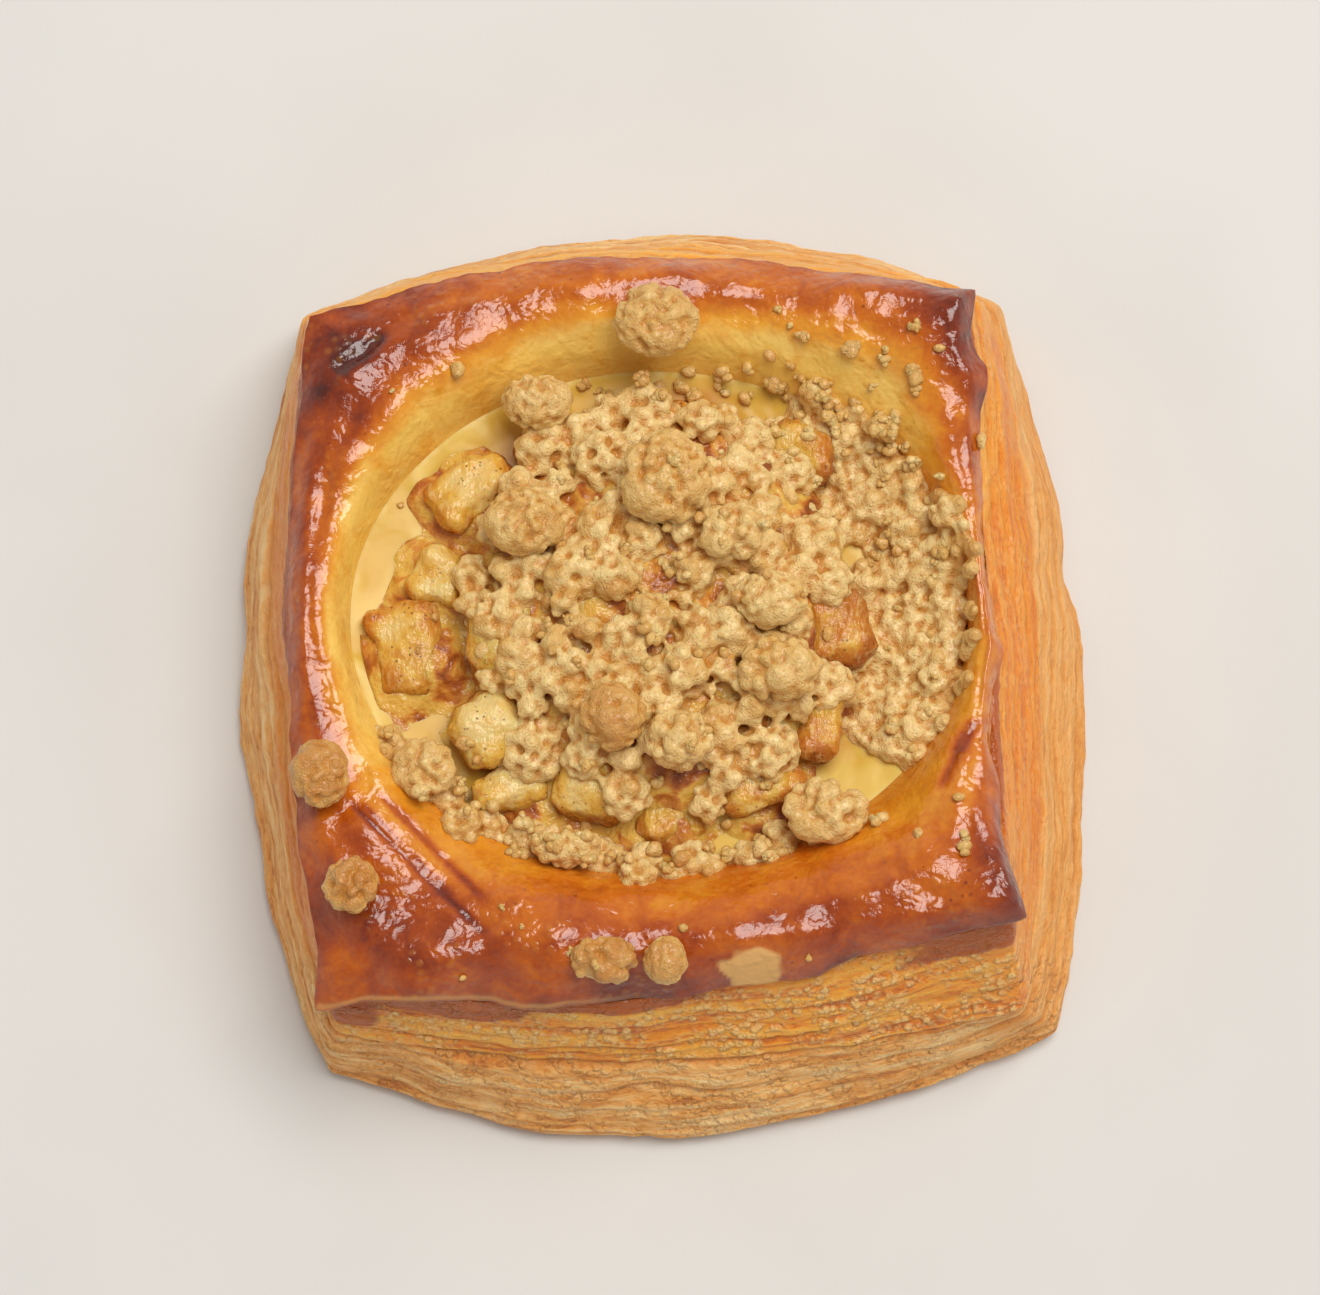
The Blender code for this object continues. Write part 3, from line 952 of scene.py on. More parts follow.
@dataclass(frozen=True)
class DoughSide:
    """The laminated side of the dough, from its flat base up to just under the lip."""

    steps: int = 800
    tier_rings: int = 56
    groove: float = 0.55 * MM
    ledge: float = 0.75 * MM
    curl: float = 2.2 * MM
    under_lip: float = 1.3 * MM

    @lru_cache(maxsize=None)
    def tuck(self, turn: float) -> float:
        """How far the base's outline moves out at a turn, in metres."""
        return sum(feature.out * feature.share(turn) for feature in BASE_FEATURES) * MM

    @lru_cache(maxsize=None)
    def seams(self, turn: float, lower: bool) -> tuple[tuple[float, float, float], ...]:
        """Where a tier's seams run at a turn.

        Args:
            turn: The place round the pastry.
            lower: Whether it is the lower tier.

        Returns:
            For each seam its height, its strength and how far the leaf above it stands out.
        """
        ring = Vector((math.cos(turn * math.pi / 2), math.sin(turn * math.pi / 2), 0.0)) * 10.0
        made = []
        for index, seam in enumerate(LOWER_SEAMS if lower else UPPER_SEAMS):
            seed = index + (0.0 if lower else 20.0)
            wander = ripple(ring, 4.5, seed) * 0.075 + ripple(ring, 1.0, seed + 0.4) * 0.022
            broken = min(max(0.62 + 1.1 * ripple(ring, 2.6, seed + 0.2), 0.0), 1.0)
            made.append((seam.height + wander, seam.strength * broken, ripple(ring, 3.6, seed + 0.7)))
        return tuple(made)

    def leaf(self, share: float, turn: float, lower: bool) -> tuple[float, float]:
        """Where a height lies among a tier's leaves.

        Args:
            share: The height in the tier, from 0 to 1.
            turn: The place round the pastry.
            lower: Whether it is the lower tier.

        Returns:
            How far the side stands out, in metres, and how much of a seam it is, from 0 to 1.
        """
        out, brown = 0.0, 0.0
        for height, strength, step in self.seams(turn, lower):
            away = share - height
            notch = bell(away, 0.026) * strength
            brown = max(brown, notch)
            out += step * smooth_step(-0.02, 0.02, away) * self.ledge - notch * self.groove
        return out, brown

    def wall(self, rise: float, turn: float) -> tuple[Vector, float]:
        """A point of the side.

        Args:
            rise: The share of the way up, with the waist at 0.5.
            turn: The place round the pastry.

        Returns:
            The point, and how much of a browned seam it is on.
        """
        lower = rise < 0.5
        share = rise * 2.0 if lower else rise * 2.0 - 1.0
        bottom, top = (BASE, WAIST) if lower else (WAIST, LIP)
        flat = bottom.at(turn).lerp(top.at(turn), share)
        low = bottom.heights.at(turn) * MM if not lower else 0.4 * MM
        high = top.heights.at(turn) * MM - (0.0 if lower else self.under_lip)
        out, seam = self.leaf(share, turn, lower)
        out *= math.sin(math.pi * share) ** 0.3
        place = Vector((*flat, low + (high - low) * share))
        wander = ripple(place, 9.0 * MM, 4.0) * 0.012
        waist = bell(rise - 0.5 - wander, 0.012)
        if lower:
            out += self.tuck(turn) * (1.0 - share)
        out += ripple(place, 8.0 * MM, 4.0) * 0.60 * MM + ripple(place, 2.0 * MM, 5.0) * 0.22 * MM
        out -= waist * 0.7 * MM
        out -= smooth_step(0.10, 0.0, rise) ** 2 * self.curl
        place.z += ripple(place, 12.0 * MM, 6.0) * 0.5 * MM * math.sin(math.pi * rise)
        place += Vector((*flat.normalized(), 0.0)) * out
        return place, max(seam, waist)

    def syrup(self, turn: float, rise: float) -> float:
        """How much glaze has run down the side at a place, from 0 to 1."""
        most = 0.0
        for run, lowest in SYRUP_RUNS:
            most = max(most, run.share(turn) * smooth_step(lowest - 0.05, lowest + 0.02, rise))
        return most

    def make(self, material: bpy.types.Material) -> bpy.types.Object:
        """Builds the side.

        Args:
            material: Its finish.

        Returns:
            The piece.
        """
        rises = [index / (2.0 * self.tier_rings) for index in range(2 * self.tier_rings + 1)]
        seams: dict[tuple[int, float], float] = {}

        def on_wall(rise: float, ring: int) -> Ring:
            """The ring of the wall at a rise."""

            def at(turn: float) -> Vector:
                """The point of that ring at a turn."""
                place, seams[(ring, turn)] = self.wall(rise, turn)
                return place

            return at

        def foot(turn: float) -> Vector:
            """The edge of the flat underside."""
            flat = self.wall(0.0, turn)[0].xy
            return Vector((*(flat - flat.normalized() * 1.0 * MM), 0.0))

        def shoulder(turn: float) -> Vector:
            """The hidden top edge, tucked in under the crust."""
            return Vector((*WELL.point(0.85, turn), 12.0 * MM))

        def rise_of(ring: int, turn: float, place: Vector) -> float:
            """How far up a ring lies, from 0 to 1."""
            return (ring - 2) / (2.0 * self.tier_rings)

        rings: list[Ring] = [lambda turn: Vector((0, 0, 0)), foot]
        rings += [on_wall(rise, index + 2) for index, rise in enumerate(rises)]
        rings += [shoulder, lambda turn: Vector((0, 0, 12.0 * MM))]
        bm = turned(
            rings,
            self.steps,
            closed=False,
            rise=rise_of,
            seam=lambda ring, turn, place: seams.get((ring, turn), 0.0),
            syrup=lambda ring, turn, place: self.syrup(turn, rise_of(ring, turn, place)),
        )
        return to_object("dough_side", bm, material)


@dataclass(frozen=True)
class Crust:
    """The glazed top of the dough: from under the lip, over the rolled rim and down into the well."""

    steps: int = 760
    rim_rings: int = 84
    overhang: float = 0.9 * MM

    @lru_cache(maxsize=None)
    def lip_change(self, turn: float) -> Vector:
        """How far the lip moves out (x) and up (y) at a turn, in metres."""
        out = sum(feature.out * feature.share(turn) for feature in LIP_FEATURES)
        up = sum(feature.up * feature.share(turn) for feature in LIP_FEATURES)
        ring = Vector((math.cos(turn * math.pi / 2), math.sin(turn * math.pi / 2), 0.0)) * 10.0
        out += ripple(ring, 0.9, 2.0) * 0.55 + ripple(ring, 0.35, 3.0) * 0.22
        up += ripple(ring, 1.2, 4.0) * 0.45
        return Vector((out, up)) * MM

    def rim(self, share: float, turn: float) -> Vector:
        """A point of the rim, at a share of the way from the lip to the custard line."""
        change = self.lip_change(turn)
        fade = (1.0 - share) ** 2
        lip = LIP.at(turn)
        flat = lip.lerp(WELL.point(1.0, turn), share)
        flat += lip.normalized() * (self.overhang * (1.0 - share) + change.x * fade)
        crest_share = CREST_PLACE.at(turn)
        low, crest = LIP_HEIGHT.at(turn) * MM, CREST_HEIGHT.at(turn) * MM
        line = WELL.custard_line * MM
        if share < crest_share:
            height = low + (crest - low) * math.sin(math.pi / 2 * share / crest_share)
        else:
            fall = (share - crest_share) / (1.0 - crest_share)
            height = crest - (crest - line) * fall ** CREST_BREADTH.at(turn)
        folds = self.fold(share, turn) * 0.30 * MM * smooth_step(1.0, 0.75, share)
        place = Vector((*flat, height + change.y * fade + folds))
        return self.uneven(place, share)

    def fold(self, share: float, turn: float) -> float:
        """Long soft folds that run along the rim, from about -1 to 1."""
        around = Vector((math.cos(turn * math.pi / 2), math.sin(turn * math.pi / 2), 0.0)) * 4.6
        return ripple(around + Vector((0.0, 0.0, share * 5.5)), 1.0, 14.0)

    def uneven(self, place: Vector, share: float) -> Vector:
        """Adds swellings, creases and wrinkles to a point of the rim."""
        hold = smooth_step(1.0, 0.8, share)
        place.z += ripple(place, 14.0 * MM, 1.0) * 1.0 * MM * hold
        place.z += ripple(place, 5.0 * MM, 2.0) * 0.60 * MM * hold
        place.z += ripple(place, 2.2 * MM, 3.0) * 0.10 * MM * (0.3 + 0.7 * hold)
        place.z += sum(spot.at(place) for spot in CRUST_SWELLS) * MM * hold
        place.z -= sum(c.depth * c.share(place) for c in CRUST_CREASES) * MM
        wrinkled = min(sum(spot.at(place) for spot in BURNT_SPOTS) * 2.0, 1.0)
        place.z += ripple(place, 1.1 * MM, 8.0) * 0.45 * MM * max(wrinkled, 0.0)
        return place

    def bake(self, share: float, turn: float, place: Vector) -> float:
        """How dark the crust is at a point, from 0, custard gold, to 1, burnt, lifted by painted light on
        the rear slope by the custard.
        """
        crest = CREST_PLACE.at(turn)
        if share < crest:
            dark = OUTER_BAKE.at(turn) + 0.05 * (1.0 - share / crest)
        else:
            fall = (share - crest) / (1.0 - crest)
            inner = smooth_step(0.06, 0.82, fall)
            dark = OUTER_BAKE.at(turn) * (1.0 - inner) + INNER_BAKE_AND_PAINTED_LIGHT.at(turn) * inner
        dark += self.fold(share, turn) * 0.13
        dark += 0.06 * smooth_step(0.05, 0.0, share)
        dark += ripple(place, 11.0 * MM, 11.0) * 0.07 + ripple(place, 4.0 * MM, 12.0) * 0.05
        dark += sum(spot.at(place) for spot in BURNT_SPOTS)
        dark += sum(c.share(place) for c in CRUST_CREASES) * 0.36
        return min(max(dark, 0.0), 1.0)

    def peel(self, share: float, turn: float, place: Vector) -> float:
        """How much of the glaze has come off at a point, from 0 to 1."""
        centre = Vector((10.6, -42.6)) * MM
        away = place.xy - centre
        reach = math.hypot(away.x / (3.9 * MM), away.y / (2.9 * MM))
        flake = smooth_step(1.05, 0.85, reach + ripple(place, 2.5 * MM, 9.0) * 0.5)
        edge = bell(share - 0.015, 0.014) * smooth_step(0.50, 0.30, turn) * 0.5
        return max(flake, edge)

    def make(self, material: bpy.types.Material) -> bpy.types.Object:
        """Builds the crust.

        Args:
            material: Its finish.

        Returns:
            The piece.
        """
        shares = [(index / self.rim_rings) ** 1.25 for index in range(self.rim_rings + 1)]

        def under(inset: float, drop: float) -> Ring:
            """A ring under the lip, inset from its edge and dropped below it."""

            def at(turn: float) -> Vector:
                edge = self.rim(0.0, turn)
                outward = Vector((*edge.xy.normalized(), 0.0))
                return edge - outward * inset - Vector((0, 0, drop))

            return at

        def on_rim(share: float) -> Ring:
            """A ring of the rim."""
            return lambda turn: self.rim(share, turn)

        def in_well(share: float, height: float) -> Ring:
            """A ring of the well's wall."""
            return lambda turn: Vector((*WELL.point(share, turn), height * MM))

        rings: list[Ring] = [
            under(6.0 * MM, 9.0 * MM),
            under(3.2 * MM, 3.4 * MM),
            under(1.5 * MM, 1.6 * MM),
            under(0.7 * MM, 1.3 * MM),
            under(0.2 * MM, 0.95 * MM),
            under(-0.05 * MM, 0.55 * MM),
            under(-0.03 * MM, 0.25 * MM),
        ]
        first = len(rings)
        rings += [on_rim(share) for share in shares]
        rings += [in_well(0.985, 21.4), in_well(0.96, 18.5), in_well(0.92, 14.5), in_well(1.0, 13.0)]

        def share_of(ring: int) -> float:
            """How far in from the lip a ring lies."""
            return shares[min(max(ring - first, 0), len(shares) - 1)]

        def baked(ring: int, turn: float, place: Vector) -> float:
            """How dark a point of a ring is, with painted shade under the lip."""
            # Rings under the lip are a little darker: painted shade.
            return self.bake(share_of(ring), turn, place) + (0.04 if ring < first else 0.0)

        bm = turned(
            rings,
            self.steps,
            closed=True,
            bake=baked,
            peel=lambda ring, turn, place: self.peel(share_of(ring), turn, place),
        )
        return to_object("glazed_crust", bm, material)


@dataclass
class Custard:
    """The custard: a closed disc that reaches just into the well's wall."""

    steps: int = 240
    rings: int = 60
    reach: float = 1.03

    def height(self, place: Vector) -> float:
        """The height of the custard's uneven top at a place."""
        lap = smooth_step(0.80, 0.98, WELL.share(place))
        return WELL.surface(place) + ripple(place, 7.0 * MM, 21.0) * (0.45 - 0.2 * lap) * MM

    def make(self, material: bpy.types.Material, fruit: list[Vector]) -> bpy.types.Object:
        """Builds the custard.

        Args:
            material: Its finish.
            fruit: The middles of the apple dice, whose syrup stains it.

        Returns:
            The piece.
        """

        def on_top(share: float) -> Ring:
            """A ring of the surface."""

            def at(turn: float) -> Vector:
                flat = WELL.point(share, turn).to_3d()
                return Vector((flat.x, flat.y, self.height(flat)))

            return at

        def hub(height: float) -> Ring:
            """The single point in the middle of the well."""
            x, y = WELL.centre
            return lambda turn: Vector((x * MM, y * MM, height))

        shares = [self.reach * (1.0 - index / self.rings) for index in range(self.rings)]
        bottom = 15.0 * MM
        rings: list[Ring] = [
            hub(bottom),
            lambda turn: Vector((*WELL.point(0.93, turn), bottom)),
        ]
        rings += [on_top(share) for share in shares]
        rings.append(hub(self.height(Vector((*WELL.centre, 0.0)) * MM)))

        def stain(ring: int, turn: float, place: Vector) -> float:
            """How much syrup has run into the custard at a point."""
            nearest = min((place.xy - middle.xy).length for middle in fruit)
            by_fruit = smooth_step(8.5 * MM, 4.0 * MM, nearest)
            return by_fruit * 0.55 + smooth_step(1.2, 0.8, HEAP.share(place)) * 0.5

        bm = turned(rings, self.steps, closed=False, stain=stain)
        return to_object("custard_fill", bm, material)


# ---------------------------------------------------------------------------------------------
# The filling
# ---------------------------------------------------------------------------------------------


@dataclass
class AppleDice:
    """One diced piece of apple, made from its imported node's solid."""

    node: str
    tone: float
    seed: int

    def make(self, material: bpy.types.Material) -> bpy.types.Object:
        """Builds the dice.

        Args:
            material: Its finish.

        Returns:
            The piece.
        """
        bm = bmesh.new()
        bm.from_mesh(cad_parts[self.node].data)
        bmesh.ops.remove_doubles(bm, verts=bm.verts, dist=1e-6)
        bmesh.ops.dissolve_limit(bm, angle_limit=math.radians(2.0), verts=bm.verts, edges=bm.edges)
        bmesh.ops.subdivide_edges(bm, edges=bm.edges, cuts=5, use_grid_fill=True)
        bmesh.ops.triangulate(bm, faces=[face for face in bm.faces if len(face.verts) > 4])
        bmesh.ops.smooth_vert(
            bm, verts=bm.verts, factor=0.5, use_axis_x=True, use_axis_y=True, use_axis_z=True
        )
        bmesh.ops.recalc_face_normals(bm, faces=bm.faces)
        dice = random.Random(self.seed)
        centre = sum((vertex.co for vertex in bm.verts), Vector()) / len(bm.verts)
        taper = Vector((dice.uniform(-0.035, 0.035), dice.uniform(-0.035, 0.035))) / MM
        shear = Vector((dice.uniform(-0.22, 0.22), dice.uniform(-0.22, 0.22), 0.0))
        for vertex in bm.verts:
            away = vertex.co - centre
            away.x *= 1.0 + taper.x * away.y
            away.y *= 1.0 + taper.y * away.x
            vertex.co = centre + away + shear * away.z
        bm.normal_update()
        top = max(vertex.co.z for vertex in bm.verts)
        for vertex in bm.verts:
            swell = ripple(vertex.co, 3.2 * MM, self.seed) * 0.95 + ripple(vertex.co, 1.3 * MM, 30.0) * 0.30
            vertex.co += vertex.normal * (swell * MM + 0.15 * MM)
        tones = []
        for vertex in bm.verts:
            side = (vertex.co.xy - centre.xy).length / (5.0 * MM)
            depth = (top - vertex.co.z) / (6.0 * MM)
            browned = 0.34 * smooth_step(0.5, 1.0, side) + 0.34 * smooth_step(0.15, 0.7, depth)
            tones.append(min(self.tone + browned + 0.35 * ripple(vertex.co, 3.0 * MM, 31.0), 1.0))
        store(bm, "tone", tones)
        return to_object(self.node.replace("apple", "apple_dice"), bm, material)


@dataclass(frozen=True)
class Nodule:
    """One rounded crumb: where it is, how it is stretched, and how much more toasted it is."""

    centre: Vector
    radius: float
    stretch: tuple[float, float, float] = (1.0, 1.0, 1.0)
    toast: float = 0.0

    def placing(self) -> Matrix:
        """The matrix that makes it of a unit ball."""
        sizes = [self.radius * part for part in self.stretch]
        return Matrix.Translation(self.centre) @ Matrix.Diagonal((*sizes, 1.0))


@dataclass(frozen=True)
class HeapShape:
    """The big heap's dome over the custard, in mm, and where fruit shows through it."""

    centre: tuple[float, float] = (-0.8, 3.2)
    half_sizes: tuple[float, float] = (24.4, 27.4)
    rise: float = 12.2
    windows: tuple[tuple[float, float, float], ...] = (
        (-6.8, 0.9, 2.4),
        (-0.6, 5.6, 2.6),
        (-10.2, 15.8, 2.6),
        (-16.8, 20.6, 3.2),
        (-21.4, -12.0, 4.6),
        (-18.6, -20.6, 4.6),
        (-9.0, -21.6, 4.2),
        (1.0, -23.4, 4.6),
        (20.6, -0.9, 4.0),
        (18.8, -13.0, 2.2),
        (-25.5, 11.5, 4.0),
        (6.9, 14.6, 1.1),
        (5.5, 3.6, 0.9),
        (11.8, 3.2, 0.9),
        (0.5, -14.3, 1.1),
        (-13.2, -17.6, 1.5),
    )

    def share(self, place: Vector) -> float:
        """How far out a place lies: 0 in the middle, 1 at the heap's edge."""
        return math.hypot(
            (place.x / MM - self.centre[0]) / self.half_sizes[0],
            (place.y / MM - self.centre[1]) / self.half_sizes[1],
        )

    def top(self, place: Vector) -> float:
        """The height of the dome at a place."""
        dome = math.sqrt(max(1.0 - self.share(place) ** 2, 0.0))
        return WELL.surface(place) + self.rise * MM * dome**0.8

    def open(self, place: Vector) -> bool:
        """Whether a place lies in a window, where crumble leaves the fruit bare."""
        return any(
            math.hypot(place.x / MM - x, place.y / MM - y) < radius for x, y, radius in self.windows
        )


HEAP = HeapShape()
# Where syrupy apple has spread out between the dice.
COMPOTE_POOLS = (
    Spot((-29.0, -3.0), 7.2, 4.6),
    Spot((-26.5, 6.0), 6.4, 4.8),
    Spot((-23.0, 16.0), 6.6, 4.6),
    Spot((-20.0, -9.5), 6.0, 4.2),
    Spot((-14.0, -19.0), 7.0, 3.8),
    Spot((0.5, -21.5), 7.4, 4.0),
    Spot((11.5, -19.0), 6.4, 3.8),
    Spot((19.0, -9.5), 4.6, 3.8),
    Spot((20.3, 0.5), 5.0, 3.8),
    Spot((15.5, 22.0), 5.0, 3.0),
    Spot((3.0, 25.5), 5.0, 2.6),
    Spot((-12.5, 21.5), 6.0, 3.6),
)


def voxel_skin(
    name: str, nodules: list[Nodule], voxel: float, material: bpy.types.Material
) -> bpy.types.Object:
    """Fuses nodules into one skin.

    Args:
        name: The piece's name.
        nodules: The rounded crumbs.
        voxel: The size of the skin's cells, in metres.
        material: Its finish.

    Returns:
        The fused piece.
    """
    bm = bmesh.new()
    ball = icosphere(2)
    for nodule in nodules:
        append(bm, ball, nodule.placing())
    bpy.data.meshes.remove(ball)
    rough = to_object(name, bm, material)
    remesh = rough.modifiers.new("fuse", "REMESH")
    remesh.mode = "VOXEL"
    remesh.voxel_size = voxel
    graph = bpy.context.evaluated_depsgraph_get()
    fused = bpy.data.meshes.new_from_object(rough.evaluated_get(graph))
    rough.modifiers.clear()
    stale = rough.data
    rough.data = fused
    bpy.data.meshes.remove(stale)
    return rough


def crumbled(piece: bpy.types.Object, toast: Callable[[Vector, Vector], float]) -> bpy.types.Object:
    """Roughens a fused skin and stores how toasted each point is and how much painted shade it gets in the
    clefts.

    Args:
        piece: The skin.
        toast: From a point and its normal to how toasted it is, from 0 to 1.

    Returns:
        The piece.
    """
    bm = bmesh.new()
    bm.from_mesh(piece.data)
    bmesh.ops.smooth_vert(
        bm, verts=bm.verts, factor=0.5, use_axis_x=True, use_axis_y=True, use_axis_z=True
    )
    bm.normal_update()
    for vertex in bm.verts:
        rough = ripple(vertex.co, 0.95 * MM, 41.0) * 0.12 + ripple(vertex.co, 0.45 * MM, 42.0) * 0.06
        vertex.co += vertex.normal * rough * MM
    bm.normal_update()
    store(bm, "toast", [toast(vertex.co, vertex.normal) for vertex in bm.verts])
    # How deep each point lies in a hollow between crumbs, which sets the painted shade in clefts.
    hollows = []
    for vertex in bm.verts:
        ring = [edge.other_vert(vertex).co for edge in vertex.link_edges]
        middle = sum(ring, Vector()) / len(ring)
        hollow = (middle - vertex.co).dot(vertex.normal) / (0.022 * MM)
        hollows.append(min(max(hollow, -0.6), 1.6))
    bm.verts.index_update()
    for _ in range(2):
        rings = [[edge.other_vert(v).index for edge in v.link_edges] for v in bm.verts]
        hollows = [
            (hollows[index] + sum(hollows[other] for other in ring)) / (1 + len(ring))
            for index, ring in enumerate(rings)
        ]
    hollows = [min(max(hollow, 0.0), 1.0) for hollow in hollows]
    store(bm, "cleft_shade", hollows)
    bm.to_mesh(piece.data)
    bm.free()
    piece.data.shade_smooth()
    return piece


class Ground:
    """The pieces that crumbs can fall on."""

    def __init__(self, pieces: list[bpy.types.Object]) -> None:
        """Takes the pieces as they stand."""
        graph = bpy.context.evaluated_depsgraph_get()
        self.trees = [BVHTree.FromObject(piece, graph) for piece in pieces]

    def under(self, x: float, y: float) -> tuple[Vector, Vector] | None:
        """What lies highest under a place.

        Args:
            x: The place, in metres.
            y: The place, in metres.

        Returns:
            The point and its normal, or None where there is nothing.
        """
        above = Vector((x, y, 80.0 * MM))
        hits = [tree.ray_cast(above, Vector((0, 0, -1)))[:2] for tree in self.trees]
        return max((hit for hit in hits if hit[0] is not None), key=lambda hit: hit[0].z, default=None)


class Crumb(Enum):
    """How a clump of crumble is put together."""

    SMOOTH = (0.145, 0.88, 210)
    KNOBBLY = (0.22, 0.84, 74)

    @property
    def nodule_share(self) -> float:
        """A nodule's radius, as a share of the clump's."""
        return self.value[0]

    @property
    def reach(self) -> float:
        """How far out the nodules sit, as a share of the clump's size."""
        return self.value[1]

    @property
    def count(self) -> int:
        """How many nodules the clump has."""
        return self.value[2]


@dataclass
class Streusel:
    """All the crumble: the heap with its core, the bank, the clumps and the loose crumbs."""

    material: bpy.types.Material
    heap_voxel: float = 0.355 * MM
    strip_voxel: float = 0.29 * MM
    clump_voxel: float = 0.26 * MM
    golden_turn: float = 2.39996

    def cluster(self, centre: Vector, radius: float, dice: random.Random) -> list[Nodule]:
        """The rounded crumbs on the outside of a cluster.

        Args:
            centre: Its middle.
            radius: Its radius.
            dice: The random numbers to draw from.

        Returns:
            Its crumbs.
        """
        made = []
        start = dice.uniform(0.0, math.tau)
        typical = dice.uniform(0.74, 1.00) * MM
        count = round(2.75 * (radius / typical) ** 2)
        for index in range(count):
            rise = 1.0 - 1.3 * (index + 0.5) / count
            angle = start + index * self.golden_turn
            flat = math.sqrt(1.0 - rise * rise)
            heading = Vector((flat * math.cos(angle), flat * math.sin(angle), rise))
            heading += Vector((dice.gauss(0, 0.13), dice.gauss(0, 0.13), dice.gauss(0, 0.13)))
            size = typical * dice.uniform(0.62, 1.32)
            stretch = tuple(dice.uniform(0.85, 1.18) for _ in range(3))
            middle = centre + heading.normalized() * (radius - size * dice.uniform(0.05, 0.30))
            made.append(Nodule(middle, size, stretch, dice.gauss(0.0, 0.18)))
        return made

    def fused(
        self,
        name: str,
        cores: list[Nodule],
        crumbs: list[Nodule],
        voxel: float,
        toast: Callable[[Vector, Vector], float],
    ) -> bpy.types.Object:
        """Builds rounded crumbs that have baked together, each a little more or less toasted.

        Args:
            name: The piece's name.
            cores: What fills the clusters.
            crumbs: The crumbs on their outside.
            voxel: The size of the skin's cells, in metres.
            toast: From a point and its normal to how toasted the crumble is there.

        Returns:
            The piece.
        """
        tree = KDTree(len(crumbs))
        for index, crumb in enumerate(crumbs):
            tree.insert(crumb.centre, index)
        tree.balance()
        piece = voxel_skin(name, cores + crumbs, voxel, self.material)
        return crumbled(
            piece, lambda place, normal: toast(place, normal) + crumbs[tree.find(place)[1]].toast
        )

    def heap(self) -> bpy.types.Object:
        """Builds the heap's crumble.

        Returns:
            The piece.
        """
        dice = random.Random(5)
        cores: list[Nodule] = []
        crumbs: list[Nodule] = []
        for _ in range(2600):
            place = self.somewhere(dice)
            radius = dice.choice((1.5, 2.1, 2.7, 3.3, 3.9)) * MM
            if HEAP.share(place) > 0.94 or HEAP.open(place):
                continue
            if any((place.xy - c.centre.xy).length < radius * 0.84 + c.radius for c in cores):
                continue
            lift = ripple(place, 8.0 * MM, 50.0) * 1.1 * MM + dice.uniform(-0.6, 0.5) * MM
            place.z = HEAP.top(place) - radius * 0.66 + lift
            cores.append(Nodule(place, radius * 0.80))
            crumbs += self.cluster(place, radius, dice)
        LOG.info("heap: %d clusters, %d crumbs", len(cores), len(crumbs))
        for _ in range(1000):
            place = self.somewhere(dice)
            if HEAP.share(place) > 0.99 or HEAP.open(place):
                continue
            place.z = HEAP.top(place) - dice.uniform(1.9, 3.4) * MM
            crumbs.append(Nodule(place, dice.uniform(0.50, 1.05) * MM, toast=dice.gauss(0.1, 0.2)))

        def toast(place: Vector, normal: Vector) -> float:
            """Toasted on the higher tops."""
            high = smooth_step(28.0 * MM, 35.0 * MM, place.z)
            return 0.02 + 0.24 * high * max(normal.z, 0.0) + 0.34 * ripple(place, 6.0 * MM, 51.0)

        return self.fused("streusel_crumble", cores, crumbs, self.heap_voxel, toast)

    def somewhere(self, dice: random.Random) -> Vector:
        """A random place on the heap's plan, at no height."""
        x, y = dice.uniform(-1, 1), dice.uniform(-1, 1)
        return Vector(
            (
                (HEAP.centre[0] + x * HEAP.half_sizes[0]) * MM,
                (HEAP.centre[1] + y * HEAP.half_sizes[1]) * MM,
                0.0,
            )
        )

    def compote(self, material: bpy.types.Material) -> bpy.types.Object:
        """Builds the syrupy core that shows in the heap's gaps and between the apple dice.

        Args:
            material: Its finish.

        Returns:
            The piece.
        """

        def height(place: Vector) -> float:
            """The height of its lumpy top, which dips under the custard where there is none."""
            surface = WELL.surface(place)
            lumps = ripple(place, 5.0 * MM, 60.0) * 0.9 + ripple(place, 2.2 * MM, 61.0) * 0.45
            heaped = HEAP.top(place) - surface - 2.3 * MM
            pooled = max(pool.at(place) for pool in COMPOTE_POOLS) * MM - 1.2 * MM
            return surface + max(max(heaped, pooled) + lumps * MM, -1.5 * MM)

        def on_top(share: float) -> Ring:
            """A ring of the top."""

            def at(turn: float) -> Vector:
                """The point of that ring at a turn."""
                flat = WELL.point(share, turn).to_3d()
                return Vector((flat.x, flat.y, height(flat)))

            return at

        middle = Vector((*WELL.centre, 0.0)) * MM
        bottom = 17.0 * MM
        shares = [0.97 * (1.0 - index / 80) for index in range(80)]
        rings: list[Ring] = [
            lambda turn: Vector((middle.x, middle.y, bottom)),
            lambda turn: Vector((*WELL.point(0.96, turn), bottom)),
        ]
        rings += [on_top(share) for share in shares]
        rings.append(lambda turn: Vector((middle.x, middle.y, height(middle))))
        return to_object("apple_compote", turned(rings, 260, closed=False), material)

